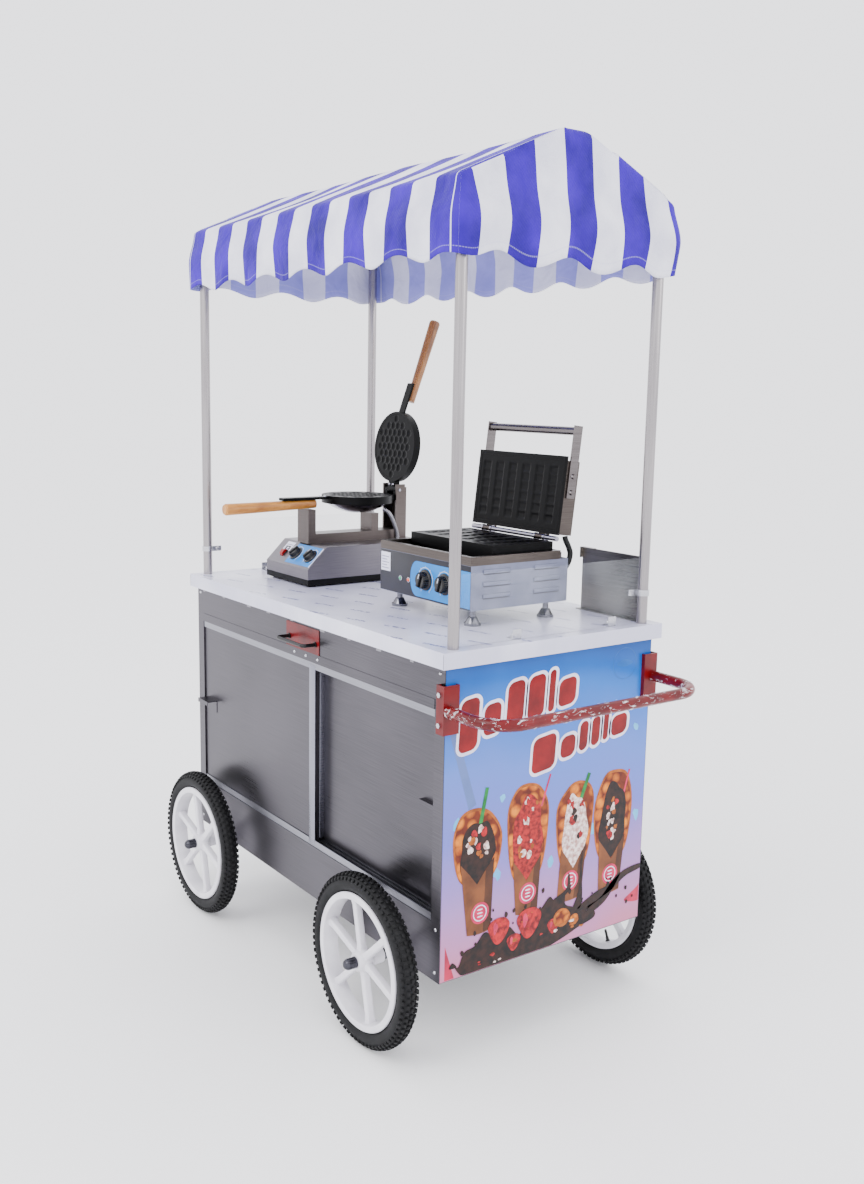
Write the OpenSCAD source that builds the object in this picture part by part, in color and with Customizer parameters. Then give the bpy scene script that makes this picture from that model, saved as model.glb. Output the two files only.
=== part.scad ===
// Push vending cart: a stainless cabinet on four spoked wheels, a gable canopy on
// four posts, a push handle at one end, and two table-top waffle makers.
// Long axis along X, sliding doors on -Y, push handle at +X, ground at z = 0.

/* [Counter] */
// Length of the counter top
counter_l = 1220; // [1000:10:1500]
// Depth of the counter top
counter_w = 635; // [560:5:770]
// Height of the counter surface above the ground
counter_h = 945; // [900:5:1140]
// Height of the folded lip round the counter
lip_h = 35; // [20:1:48]
// Thickness of the counter sheet
counter_t = 2; // [1:0.5:4]

/* [Cabinet] */
// How far the counter stands out past the cabinet
overhang = 16; // [8:1:24]
// Height of the cabinet's underside
cabinet_z = 212; // [212:1:260]
// Thickness of the cabinet sheet
sheet = 1.5; // [1:0.1:3]
// Width of the uprights beside the door opening
stile_w = 34; // [24:1:60]
// Height of the panel under the doors
lower_panel_h = 133; // [100:1:180]
// Height of the apron over the doors, below the counter surface
apron_h = 130; // [115:1:170]
// Height of the riveted strip along the foot of the apron
strip_h = 22; // [15:1:30]

/* [Doors] */
// How far the two doors lap when shut
door_lap = 130; // [60:5:200]
// Thickness of a door
door_t = 8; // [5:0.5:10]
// Step back from the outer door to the inner door
door_step = 22; // [20:1:26]
// Play of a door in its track, each side
door_play = 1; // [0.5:0.1:1.5]
// Height of the two door tracks
track_h = 17; // [12:1:22]

/* [Drawer] */
// Width of the drawer front
drawer_w = 160; // [110:5:200]
// Height of the drawer front
drawer_h = 62; // [50:1:64]
// Depth of the drawer box
drawer_d = 300; // [200:10:420]
// Place of the drawer along the cart
drawer_x = 7; // [-60:1:60]

/* [Wheels] */
// Outer diameter of the tyres
tyre_d = 400; // [400:5:420]
// Width of the tyres
tyre_w = 47; // [40:1:57]
// Diameter of the rim flange
rim_d = 315; // [290:1:330]
// Width of the rim
rim_w = 42; // [34:1:50]
// Diameter of the axles
axle_d = 16; // [12:0.5:20]
// Gap from the cabinet side to the middle of a wheel
wheel_out = 61.5; // [58:0.5:80]
// Place of the right axle
axle_right_x = 389; // [300:1:420]
// Place of the left axle
axle_left_x = -459; // [-490:1:-360]

/* [Canopy] */
// Diameter of the posts, rails and ridge
tube_d = 25; // [20:1:32]
// Height of the eaves
eave_h = 1885; // [1600:5:2262]
// Rise from the eaves to the ridge
ridge_rise = 118; // [60:1:160]
// Drop of the valance below the eaves
valance_h = 165; // [100:5:220]
// Thickness allowed for the cloth and its folds
cloth_t = 6; // [3:0.5:10]

/* [Push handle] */
// Reach of the handle bar from the cabinet end to its centre
handle_out = 166; // [120:1:220]
// Height of the handle bar
handle_z = 820; // [760:1:860]
// Bend radius of the handle tube
handle_bend = 75; // [50:1:100]

/* [Guards] */
// Height of the end guards above the counter
guard_h = 153; // [100:1:220]
// Thickness of the clear guards
guard_t = 5; // [3:0.5:8]
// Length of the steel splash guard
splash_l = 209; // [150:1:320]

/* [Bubble waffle maker] */
// Width of its base
bubble_w = 232; // [210:1:250]
// Depth of its base
bubble_d = 392; // [370:1:410]
// Height of its housing above the counter
bubble_h = 106; // [96:1:116]
// Diameter of its two pans
pan_d = 200; // [170:1:210]
// Angle from shut to open of the upper pan
pan_open = 96; // [90:1:100]

/* [Stick waffle maker] */
// Width of its housing
stick_w = 364; // [320:1:420]
// Depth of its housing
stick_d = 290; // [270:1:300]
// Height of its housing
stick_h = 102; // [90:1:120]
// Width of its cooking plates
plate_w = 322; // [280:1:340]
// Depth of its cooking plates
plate_d = 187; // [150:1:200]
// Angle from shut to open of the lid
lid_open = 96.5; // [90:0.5:100]

/* [Hidden] */
$fn = 96;

// Clearances: running fits, and the gap between pieces that move past each other
fit = 0.05;
gap = 0.3;

// Cabinet
body_l = counter_l - 2 * overhang;
body_w = counter_w - 2 * overhang;
end_x = body_l / 2;
side_y = body_w / 2;
under_counter = counter_h - counter_t;
open_x = end_x - stile_w;
open_z0 = cabinet_z + lower_panel_h;
open_z1 = counter_h - apron_h;
strip_t = 1.2;
fold = 15;

// Doors: the outer door is the left one, the inner door the right one
track_t = 1.5;
door_w = open_x + door_lap / 2;
outer_y = -side_y + sheet + track_t + door_play;
inner_y = outer_y + door_step;
track_back = inner_y + door_t + door_play + track_t;
door_z0 = open_z0 + track_t + gap;
door_z1 = open_z1 - track_t - 3;
door_skin = 1.5;
door_fold = 22;
tab_w = 60;
tab_z = (door_z0 + door_z1) / 2 - 18;
tab_h = 35;
outer_tab = 30;
inner_tab = door_step - door_t - 2;

// Drawer
front_t = 1.5;
drawer_z0 = open_z1 + strip_h + gap;
box_side = 12;
box_w = drawer_w - 2 * box_side;
box_h = drawer_h - 18;
box_z = drawer_z0 + 8;
box_t = 1.2;
drawer_y = -side_y - gap - front_t;
pull_span = 128;
pull_out = 35;
pull_d = 9;
pull_z = drawer_z0 + 0.4 * drawer_h;
runner_t = 1.5;
ledge = 10;

// Wheels
wheel_z = tyre_d / 2;
wheel_y = side_y + wheel_out;
axle_r = axle_d / 2;
bore_r = axle_r + fit;
hub_d = 42;
hub_out = 21;
hub_in = 49;
rim_t = 7;
spoke_w = 18;
spoke_count = 6;
spoke_phase = 43;
bead_d = rim_d - 17;
saddle_y = side_y - 40;
saddle_w = 8;
saddle_l = 50;
saddle_drop = 14;
sleeve_d = 27;
sleeve_neck_d = 22;
cap_d = 26;
cap_l = 31;
cap_end = 9;
axles = [axle_left_x, axle_right_x];

// Canopy
tube_r = tube_d / 2;
tube_wall = 1.5;
eave_x = counter_l / 2 - 6;
eave_y = counter_w / 2 - 20;
roof_a = atan(ridge_rise / eave_y);
cloth_drop = cloth_t / cos(roof_a);
rail_x = eave_x - cloth_t - gap - tube_r;
rail_y = eave_y - cloth_t - gap - tube_r;
socket_t = 1.7;
post_x = rail_x - socket_t;
post_y = rail_y - 3.7;
ridge_z = eave_h + ridge_rise - cloth_drop - (tube_r + gap) / cos(roof_a);
rail_z = ridge_z - rail_y * tan(roof_a);
rafter_d = tube_d - 3;
socket_r = tube_r + socket_t;
post_top = rail_z - tube_r - 2;
socket_h = 32;
post_bolt_d = 10;
plug_h = 30;

// Push handle
grip_d = 25;
arm_y = side_y - 1.5;
bar_x = end_x + handle_out;
bracket_w = 41;
bracket_h = 105;
bracket_out = 11;
bracket_t = 3;
bracket_z0 = handle_z - 51;

// The model's middle lies halfway between the left wheels and the handle bar
left_end = min(-counter_l / 2, axle_left_x - wheel_z);
centre_x = -(bar_x + grip_d / 2 + left_end) / 2;

// Guards
guard_x = post_x - tube_r + 4;
guard_y = post_y - tube_r - 1;
splash_x1 = post_x - tube_r - gap;
splash_y = eave_y - 8;
angle_leg = 22;
angle_t = 2;
guard_feet = [-96, 188];

// Bubble waffle maker: its place, housing profile and hinge
bubble_x = -end_x + 250;
bubble_y = 44;
bubble_y0 = bubble_y - bubble_d / 2;
bubble_y1 = bubble_y + bubble_d / 2;
base_z = counter_h + 5;
base_h = 16;
house_z = base_z + base_h;
lip_z = counter_h + 49;
deck_z = counter_h + bubble_h;
slope_y = 58;
slope_a = atan((deck_z - lip_z) / slope_y);
slope_l = (deck_z - lip_z) / sin(slope_a);
house_t = 1.2;
pan_r = pan_d / 2;
pan_y = bubble_y1 - 166;
pan_t = 22;
recess = 3.5;
pan_hinge_y = pan_y + pan_r + 22;
pan_face_z = deck_z + 128;
pan_hinge_z = pan_face_z + 11;
pin_d = 8;
knuckle_d = 20;
dish_depth = 30;
tower_w = 70;
ear_t = 6;
upright_w = 60;
upright_t = 23;
saddle_t = 26;
bubble_knobs = [2, 80];
bubble_knob_d = 44;
switch_x = -61;
switch_w = 14;
switch_l = 22;
wood_d0 = 24;
wood_d1 = 31;
lower_wood_l = 275;
label_t = 0.4;
upper_wood_l = 245;

// Stick waffle maker: its place and hinge
stick_x = end_x - 340;
stick_y0 = -118;
stick_y1 = stick_y0 + stick_d;
stick_z0 = counter_h + 40;
stick_z1 = stick_z0 + stick_h;
tray_h = 20;
tray_t = 1.5;
tray_back = 24;
plate_z = stick_z1 + 39;
plate_t = 26;
lid_hinge_y = stick_y1 - 18;
lid_hinge_z = plate_z + 5;
plate_y1 = lid_hinge_y - 9;
plate_y0 = plate_y1 - plate_d;
lug_x = plate_w / 2 - 60;
lug_w = 26;
ear_r = 8;
hinge_tube_d = 12;
casing_t = 40;
casing_trim = 10;
stick_knobs = [10, 86];
stick_knob_d = 52;
stick_knob_z = stick_z0 + stick_h / 2 - 3;
louvre_l = 72;
louvre_t = 2;
louvre_pitch = 28;
foot_d = 40;
foot_in = 35;
strap_w = 25;
strap_t = 4;
strap_l = 172;
hoop_d = 20;

// Boxes and rods named by where they begin and end
module span(x, y, z) {
  translate([x[0], y[0], z[0]]) cube([x[1] - x[0], y[1] - y[0], z[1] - z[0]]);
}
module rod_x(d, x, y, z) {
  translate([x[0], y, z]) rotate([0, 90, 0]) cylinder(d = d, h = x[1] - x[0]);
}
module rod_y(d, x, y, z) {
  translate([x, y[1], z]) rotate([90, 0, 0]) cylinder(d = d, h = y[1] - y[0]);
}
module rod_z(d, x, y, z) {
  translate([x, y, z[0]]) cylinder(d = d, h = z[1] - z[0]);
}
module corners(x, y) {
  for (sx = [-1, 1]) for (sy = [-1, 1]) translate([sx * x, sy * y, 0]) children();
}
module from_cabinet_centre() {
  translate([centre_x, 0, 0]) children();
}

// A round bar swept along hand-placed points, as one closed skin
function unit(v) = v / norm(v);
function sweep_ring(p, dir, r, n) =
  let (side = unit(cross(dir, [1, 0, 0])))
  let (up = cross(side, dir))
  [for (k = [0 : n - 1]) p + r * (cos(360 * k / n) * side + sin(360 * k / n) * up)];
module swept_bar(points, d, sides) {
  last = len(points) - 1;
  rings = [for (i = [0 : last])
    each sweep_ring(points[i], unit(points[min(i + 1, last)] - points[max(i - 1, 0)]), d / 2, sides)];
  skin = [for (i = [0 : last - 1]) for (k = [0 : sides - 1])
    let (a = i * sides + k, b = i * sides + (k + 1) % sides)
    [a, b, b + sides, a + sides]];
  start = [for (k = [sides - 1 : -1 : 0]) k];
  end = [for (k = [0 : sides - 1]) last * sides + k];
  polyhedron(concat(rings), concat(skin, [start, end]), convexity = 6);
}

// ---- Cabinet ----

module counter_top() color("gainsboro") difference() {
  span([-counter_l / 2, counter_l / 2], [-counter_w / 2, counter_w / 2], [counter_h - lip_h, counter_h]);
  span([counter_t - counter_l / 2, counter_l / 2 - counter_t],
       [counter_t - counter_w / 2, counter_w / 2 - counter_t],
       [counter_h - lip_h - 1, under_counter]);
  corners(post_x, post_y) rod_z(post_bolt_d + 2 * fit, 0, 0, [under_counter - 1, counter_h + 1]);
}

module front_frame() color("silver") difference() {
  union() {
    span([-end_x, end_x], [-side_y, -side_y + sheet], [cabinet_z, under_counter]);
    span([-open_x - sheet, open_x + sheet], [-side_y, track_back + 2],
         [open_z0 - sheet, open_z1 + sheet]);
    span([-open_x, open_x], [-side_y - strip_t, -side_y], [open_z1, open_z1 + strip_h]);
  }
  span([-open_x, open_x], [-side_y - 5, track_back + 3], [open_z0, open_z1]);
  span([drawer_x - box_w / 2 - 1, drawer_x + box_w / 2 + 1], [-side_y - 1, -side_y + sheet + 1],
       [box_z - 2, box_z + box_h + 2]);
}

module end_panel(side) color("silver") mirror([side < 0 ? 1 : 0, 0, 0]) {
  span([end_x - sheet, end_x], [sheet - side_y, side_y - sheet], [cabinet_z, under_counter]);
  for (y = [[sheet - side_y, 2 * sheet - side_y], [side_y - 2 * sheet, side_y - sheet]])
    span([end_x - fold, end_x - sheet], y, [cabinet_z + 2 * sheet, open_z0 - 2 * sheet]);
}

module back_panel() color("silver") {
  span([-end_x, end_x], [side_y - sheet, side_y], [cabinet_z, under_counter]);
}

module cabinet_floor() color("silver") {
  inner_x = end_x - sheet;
  inner_y = side_y - sheet;
  span([-inner_x, inner_x], [-inner_y, inner_y], [cabinet_z, cabinet_z + sheet]);
  for (y = [-0.5, 0.5])
    span([-inner_x + fold, inner_x - fold], [y * inner_y - 20, y * inner_y + 20],
         [cabinet_z + sheet, cabinet_z + sheet + 8]);
}

module door_track(base, lip) {
  walls = [-side_y + sheet, outer_y + door_t + door_play, inner_y - door_play - track_t,
           inner_y + door_t + door_play];
  span([-open_x, open_x], [walls[0], track_back], base);
  for (y = walls) span([-open_x, open_x], [y, y + track_t], lip);
}

module door_tracks() color("lightgray") {
  door_track([open_z0, open_z0 + track_t], [open_z0, open_z0 + track_h]);
  door_track([open_z1 - track_t, open_z1], [open_z1 - track_h, open_z1]);
}

module drawer_runners() color("silver") for (s = [-1, 1]) {
  side = box_w / 2 + gap;
  x = s > 0 ? [drawer_x + side, drawer_x + side + runner_t]
            : [drawer_x - side - runner_t, drawer_x - side];
  foot = s > 0 ? [x[0] - ledge, x[1]] : [x[0], x[1] + ledge];
  y = [-side_y + sheet, -side_y + drawer_d + 10];
  span(x, y, [box_z - gap - runner_t, under_counter]);
  span(foot, y, [box_z - gap - runner_t, box_z - gap]);
}

module rivet() {
  cylinder(d1 = 8, d2 = 5, h = 2);
}
module bolt_head(d, h) {
  cylinder(d = d, h = h, $fn = 6);
}

module cart_fasteners() color("gray") {
  strip_rivets = [-33, 23, 79];
  stile_rivets = [cabinet_z + 20, open_z0 - 15, counter_h - lip_h - 15];
  for (x = strip_rivets)
    translate([x, -side_y - strip_t, open_z1 + strip_h / 2]) rotate([90, 0, 0]) rivet();
  for (x = [-1, 1]) for (z = stile_rivets)
    translate([x * (end_x - stile_w / 2), -side_y, z]) rotate([90, 0, 0]) rivet();
  corners(post_x, post_y) {
    rod_z(post_bolt_d, 0, 0, [under_counter, counter_h + plug_h - 4]);
    translate([0, 0, under_counter - 6]) rotate([0, 0, 30]) bolt_head(16, 6);
  }
  for (s = [-1, 1]) for (z = [bracket_z0 + 20, bracket_z0 + bracket_h - 20])
    translate([end_x - 3, s * (side_y + bracket_out), z]) rotate([-90 * s, 0, 0]) bolt_head(12, 4);
  for (x = axles) for (s = [-1, 1]) for (dx = [-1, 1])
    translate([x + dx * (saddle_l / 2 - 8), s * (saddle_y - 14), cabinet_z - 7]) bolt_head(12, 4);
}

module end_graphic() color("cornflowerblue") {
  span([end_x, end_x + 0.8], [2 - side_y, side_y - 2], [cabinet_z + 2, counter_h - lip_h - 2]);
}

// ---- Sliding doors ----

module door(x, y, left_fold, right_fold, tab_x, tab_out) {
  difference() {
    span(x, [y, y + door_t], [door_z0, door_z1]);
    span([x[0] + left_fold, x[1] - right_fold], [y + door_skin, y + door_t + 1],
         [door_z0 + door_fold, door_z1 - door_fold]);
  }
  span([tab_x, tab_x + tab_w], [y - 1.5, y], [tab_z, tab_z + tab_h]);
  span([tab_x, tab_x + tab_w], [y - tab_out, y], [tab_z + tab_h - 3, tab_z + tab_h]);
  span([tab_x, tab_x + tab_w], [y - tab_out, y - tab_out + 1.5],
       [tab_z + tab_h - 11, tab_z + tab_h]);
}

module door_outer() color("silver") {
  x = [-open_x + gap, -open_x + gap + door_w];
  door(x, outer_y, door_fold, 30, x[0] + 12, outer_tab);
}

module door_inner() color("silver") {
  x = [open_x - gap - door_w, open_x - gap];
  door(x, inner_y, door_fold, door_fold, x[1] - 12 - tab_w, inner_tab);
}

// ---- Cash drawer ----

module drawer_box() color("silver") difference() {
  y = [-side_y - gap, -side_y - gap + drawer_d];
  span([drawer_x - box_w / 2, drawer_x + box_w / 2], y, [box_z, box_z + box_h]);
  span([drawer_x - box_w / 2 + box_t, drawer_x + box_w / 2 - box_t], [y[0] + box_t, y[1] - box_t],
       [box_z + box_t, box_z + box_h + 1]);
}

module drawer_front() color("crimson") {
  span([drawer_x - drawer_w / 2, drawer_x + drawer_w / 2], [drawer_y, drawer_y + front_t],
       [drawer_z0, drawer_z0 + drawer_h]);
}

module drawer_handle() color("black") translate([drawer_x, drawer_y, pull_z]) {
  bend = pull_d;
  half = pull_span / 2;
  for (s = [-1, 1]) {
    rod_y(pull_d, s * half, [bend - pull_out, 0], 0);
    rod_y(pull_d + 5, s * half, [-3, 0], 0);
    translate([s * (half - bend), bend - pull_out, 0]) rotate([0, 0, s > 0 ? -90 : 180])
      rotate_extrude(angle = 90) translate([bend, 0]) circle(d = pull_d, $fn = 32);
  }
  rod_x(pull_d, [bend - half, half - bend], -pull_out, 0);
}

// ---- Wheels ----

module wheel_axles() color("darkgray") for (x = axles) {
  tip = wheel_y + hub_out + gap + cap_l - cap_end - 1;
  rod_y(axle_d, x, [-tip, tip], wheel_z);
}

module axle_brackets() color("silver") for (x = axles) for (s = [-1, 1])
  translate([x, s * saddle_y, 0]) mirror([0, s < 0 ? 1 : 0, 0]) difference() {
    union() {
      span([-saddle_l / 2, saddle_l / 2], [-saddle_w / 2, saddle_w / 2],
           [wheel_z - saddle_drop, cabinet_z]);
      span([-saddle_l / 2, saddle_l / 2], [-24, saddle_w / 2], [cabinet_z - 3, cabinet_z]);
    }
    rod_y(2 * bore_r, 0, [-saddle_w, saddle_w], wheel_z);
  }

module axle_sleeves() color("dimgray") for (x = axles) for (s = [-1, 1]) mirror([0, s < 0 ? 1 : 0, 0])
  difference() {
    union() {
      rod_y(sleeve_d, x, [side_y + gap, wheel_y - hub_in - gap], wheel_z);
      rod_y(sleeve_neck_d, x, [saddle_y + saddle_w / 2, side_y + 1], wheel_z);
    }
    rod_y(2 * bore_r, x, [saddle_y, wheel_y], wheel_z);
  }

module axle_caps() color("dimgray") for (x = axles) for (s = [-1, 1])
  translate([x, s * (wheel_y + hub_out + gap), wheel_z]) rotate([-90 * s, 0, 0]) difference() {
    union() {
      cylinder(d = cap_d, h = cap_l - cap_d / 2);
      translate([0, 0, cap_l - cap_d / 2]) intersection() {
        sphere(d = cap_d);
        cylinder(d = cap_d, h = cap_d / 2);
      }
    }
    translate([0, 0, -1]) cylinder(r = bore_r, h = cap_l - cap_end + 1);
  }

// The outboard side of a wheel is +Z here
module rim() color("whitesmoke") difference() {
  union() {
    rotate_extrude() polygon([
      [bead_d / 2 - rim_t, -rim_w / 2], [rim_d / 2, -rim_w / 2], [rim_d / 2, 5 - rim_w / 2],
      [bead_d / 2, 8 - rim_w / 2], [bead_d / 2, rim_w / 2 - 8], [rim_d / 2, rim_w / 2 - 5],
      [rim_d / 2, rim_w / 2], [bead_d / 2 - rim_t, rim_w / 2]]);
    for (k = [0 : spoke_count - 1]) rotate([0, 0, spoke_phase + 360 * k / spoke_count])
      span([hub_d / 2 - 4, bead_d / 2 - rim_t + 2], [-spoke_w / 2, spoke_w / 2], [-9, 9]);
    translate([0, 0, -hub_in]) cylinder(d = hub_d - 6, h = hub_in);
    cylinder(d = hub_d, h = hub_out);
    translate([0, 0, -12]) cylinder(d = hub_d + 12, h = 24);
  }
  translate([0, 0, -hub_in - 1]) cylinder(r = bore_r, h = hub_in + hub_out + 2);
}

module tyre() color("dimgray") rotate_extrude() union() {
  translate([bead_d / 2, -rim_w / 2 + 8]) square([20, rim_w - 16]);
  intersection() {
    translate([wheel_z - 26, 0]) circle(r = 26, $fn = 64);
    translate([rim_d / 2, -tyre_w / 2]) square([60, tyre_w]);
  }
}

module wheel_at(x, s) {
  translate([x, s * wheel_y, wheel_z]) rotate([-90 * s, 0, 0]) children();
}
module rim_front_left() wheel_at(axle_left_x, -1) rim();
module tyre_front_left() wheel_at(axle_left_x, -1) tyre();
module rim_front_right() wheel_at(axle_right_x, -1) rim();
module tyre_front_right() wheel_at(axle_right_x, -1) tyre();
module rim_back_left() wheel_at(axle_left_x, 1) rim();
module tyre_back_left() wheel_at(axle_left_x, 1) tyre();
module rim_back_right() wheel_at(axle_right_x, 1) rim();
module tyre_back_right() wheel_at(axle_right_x, 1) tyre();

// ---- Canopy ----

module canopy_posts() color("silver") corners(post_x, post_y) difference() {
  rod_z(tube_d, 0, 0, [counter_h, post_top]);
  rod_z(tube_d - 2 * tube_wall, 0, 0, [counter_h + plug_h, post_top + 1]);
  rod_z(post_bolt_d + 2 * fit, 0, 0, [counter_h - 1, counter_h + plug_h + 1]);
}

module canopy_frame() color("silver") difference() {
  union() {
    for (y = [-rail_y, rail_y]) rod_x(tube_d, [-rail_x - 2, rail_x + 2], y, rail_z);
    for (x = [-rail_x, rail_x]) {
      rod_y(tube_d, x, [-rail_y - 2, rail_y + 2], rail_z);
      for (s = [-1, 1]) translate([x, s * rail_y, rail_z]) rotate([s * (90 - roof_a), 0, 0])
        cylinder(d = rafter_d, h = rail_y / cos(roof_a));
    }
    rod_x(tube_d, [-rail_x - 2, rail_x + 2], 0, ridge_z);
    corners(post_x, post_y) rod_z(2 * socket_r, 0, 0, [post_top - socket_h, rail_z]);
  }
  corners(post_x, post_y) rod_z(tube_d + 2 * fit, 0, 0, [post_top - socket_h - 1, post_top]);
}

module gable(x, y, top, foot) {
  translate([x, 0, 0]) rotate([90, 0, -90]) linear_extrude(2 * x)
    polygon([[-y, foot], [-y, top], [0, top + y * tan(roof_a)], [y, top], [y, foot]]);
}

module canopy_cloth() color("slateblue") difference() {
  gable(eave_x, eave_y, eave_h, eave_h - valance_h);
  gable(eave_x - cloth_t, eave_y - cloth_t, eave_h - cloth_drop + cloth_t * tan(roof_a),
        eave_h - valance_h - 1);
}

// ---- Guards ----

module wind_guards() color("lightcyan", 0.4) for (s = [-1, 1]) {
  x = s > 0 ? [guard_x, guard_x + guard_t] : [-guard_x - guard_t, -guard_x];
  span(x, [-guard_y, guard_y], [counter_h, counter_h + guard_h]);
}

module guard_brackets() color("lightgray") {
  for (s = [-1, 1]) mirror([s < 0 ? 1 : 0, 0, 0]) {
    for (y = guard_feet) {
      span([guard_x - angle_t, guard_x], [y - 12, y + 12], [counter_h, counter_h + angle_leg]);
      span([guard_x - angle_leg, guard_x], [y - 12, y + 12], [counter_h, counter_h + angle_t]);
      translate([guard_x - 13, y, counter_h + angle_t]) {
        bolt_head(13, 5);
        intersection() {
          translate([0, 0, 5]) sphere(d = 11);
          cylinder(d = 13, h = 11);
        }
      }
    }
    guard_clamp(s * post_y);
  }
}

// A band round the post with an ear and a dome screw that hold the guard's edge
module guard_clamp(y) {
  inward = y > 0 ? -1 : 1;
  z = counter_h + 66;
  difference() {
    rod_z(tube_d + 5, post_x, y, [z, z + 14]);
    rod_z(tube_d, post_x, y, [z - 1, z + 15]);
    span([guard_x, guard_x + guard_t], [-guard_y, guard_y], [z - 1, z + 15]);
  }
  ear = inward > 0 ? [y + 10, y + tube_r + 24] : [y - tube_r - 24, y - 10];
  span([guard_x - 2.5, guard_x], ear, [z, z + 14]);
  translate([guard_x - 2.5, y + inward * (tube_r + 13), z + 7]) rotate([0, -90, 0])
    cylinder(d1 = 12, d2 = 7, h = 5);
}

module splash_guard() color("silver") {
  x = [splash_x1 - splash_l, splash_x1];
  top = counter_h + guard_h;
  span(x, [splash_y, splash_y + sheet], [counter_h, top]);
  span(x, [splash_y - 16, splash_y], [counter_h, counter_h + sheet]);
  span([x[0], x[0] + 45], [splash_y - 10, splash_y + sheet], [top, top + sheet]);
  span([x[0], x[0] + sheet], [splash_y - 10, splash_y], [top - 25, top]);
}

// ---- Push handle ----

module push_handle() color("firebrick") {
  arm_end = bar_x - handle_bend;
  bar_half = arm_y - handle_bend;
  for (s = [-1, 1]) {
    rod_x(grip_d, [end_x + bracket_out, arm_end], s * arm_y, handle_z);
    translate([arm_end, s * bar_half, handle_z]) rotate([0, 0, s > 0 ? 0 : -90])
      rotate_extrude(angle = 90) translate([handle_bend, 0]) circle(d = grip_d, $fn = 48);
  }
  rod_y(grip_d, bar_x, [-bar_half, bar_half], handle_z);
}

module handle_brackets() color("darkred") for (s = [-1, 1]) mirror([0, s < 0 ? 1 : 0, 0]) {
  z = [bracket_z0, bracket_z0 + bracket_h];
  out_x = end_x + bracket_out;
  out_y = side_y + bracket_out;
  span([out_x - bracket_t, out_x], [out_y - bracket_w, out_y], z);
  span([out_x - 26, out_x], [out_y - bracket_t, out_y], z);
  span([end_x + 0.8, out_x], [out_y - bracket_w, out_y - bracket_w + bracket_t], z);
  span([out_x - 26, out_x - 26 + bracket_t], [side_y, out_y], z);
}

// ---- Bubble waffle maker ----

module bubble_base() color("black") translate([bubble_x, 0, 0]) {
  span([-bubble_w / 2, bubble_w / 2], [bubble_y0, bubble_y1], [base_z, base_z + base_h]);
  for (x = [-1, 1]) for (y = [bubble_y0 + 22, bubble_y1 - 22])
    rod_z(24, x * (bubble_w / 2 - 22), y, [counter_h, base_z]);
}

// Side outline of the housing, drawn in from its outside by t
function house_outline(t) = [
  [bubble_y0 + t, house_z - (t > 0 ? 1 : 0)],
  [bubble_y0 + t, lip_z - t * (1 - sin(slope_a)) / cos(slope_a)],
  [bubble_y0 + slope_y + t * tan(slope_a / 2), deck_z - t],
  [bubble_y1 - t, deck_z - t],
  [bubble_y1 - t, house_z - (t > 0 ? 1 : 0)]];
module house_block(w, t) {
  translate([-w / 2, 0, 0]) rotate([90, 0, 90]) linear_extrude(w) polygon(house_outline(t));
}
// Places a piece on the sloped panel: x across, u up the slope, z out of it
module on_slope(x, u) {
  translate([x, bubble_y0, lip_z]) rotate([slope_a, 0, 0]) translate([0, u, 0]) children();
}

module bubble_housing() color("slategray") translate([bubble_x, 0, 0]) difference() {
  house_block(bubble_w, 0);
  house_block(bubble_w - 2 * house_t, house_t);
  for (x = bubble_knobs) on_slope(x, slope_l / 2) cylinder(d = 6 + 2 * fit, h = 10, center = true);
  on_slope(switch_x, slope_l / 2 - 6) cube([switch_w + 2 * gap, switch_l + 2.4, 10], center = true);
}

module bubble_stand() color("dimgray") translate([bubble_x, 0, 0]) difference() {
  front_y = pan_y - pan_r - 75;
  rear_y = pan_y + 31;
  tower_y = pan_hinge_y - 11;
  ear_y = tower_y + 35;
  dish_low = pan_face_z - pan_t - dish_depth;
  grip_low = pan_face_z - 9 - wood_d0;
  union() {
    span([-upright_w / 2, upright_w / 2], [front_y, tower_y], [deck_z, deck_z + saddle_t]);
    span([-upright_w / 2, upright_w / 2], [front_y, front_y + upright_t], [deck_z, grip_low - 2]);
    span([-upright_w / 2, upright_w / 2], [rear_y, rear_y + upright_t], [deck_z, dish_low - gap]);
    span([-tower_w / 2, tower_w / 2], [tower_y, ear_y], [deck_z, pan_hinge_z + 16]);
  }
  span([ear_t - tower_w / 2, tower_w / 2 - ear_t], [tower_y - 1, ear_y - 4],
       [deck_z + saddle_t, pan_hinge_z + 20]);
  span([-tower_w, tower_w], [ear_y - 5, ear_y + 1], [pan_hinge_z + 8, pan_hinge_z + 20]);
  rod_x(pin_d + 2 * fit, [-tower_w, tower_w], pan_hinge_y, pan_hinge_z);
}

// A shallow polished dish under or over a pan, hollow, with its mouth at z = 0
module heater_dish() {
  r = pan_r - 10;
  ball = (r * r + dish_depth * dish_depth) / (2 * dish_depth);
  difference() {
    translate([0, 0, ball - dish_depth]) sphere(r = ball, $fn = 128);
    translate([0, 0, ball - dish_depth]) sphere(r = ball - 2, $fn = 128);
    translate([0, 0, ball]) cube([3 * ball, 3 * ball, 2 * ball], center = true);
  }
}

module bubble_heater() color("lightgray") {
  translate([bubble_x, pan_y, pan_face_z - pan_t]) heater_dish();
}

// A turned grip whose ferrule end is at the origin, running along -Y
module wood_grip(l) {
  rotate([90, 0, 0]) union() {
    cylinder(d1 = wood_d0, d2 = wood_d1, h = l - 5);
    translate([0, 0, l - 5]) cylinder(d1 = wood_d1, d2 = wood_d1 - 6, h = 5);
  }
}

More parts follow.
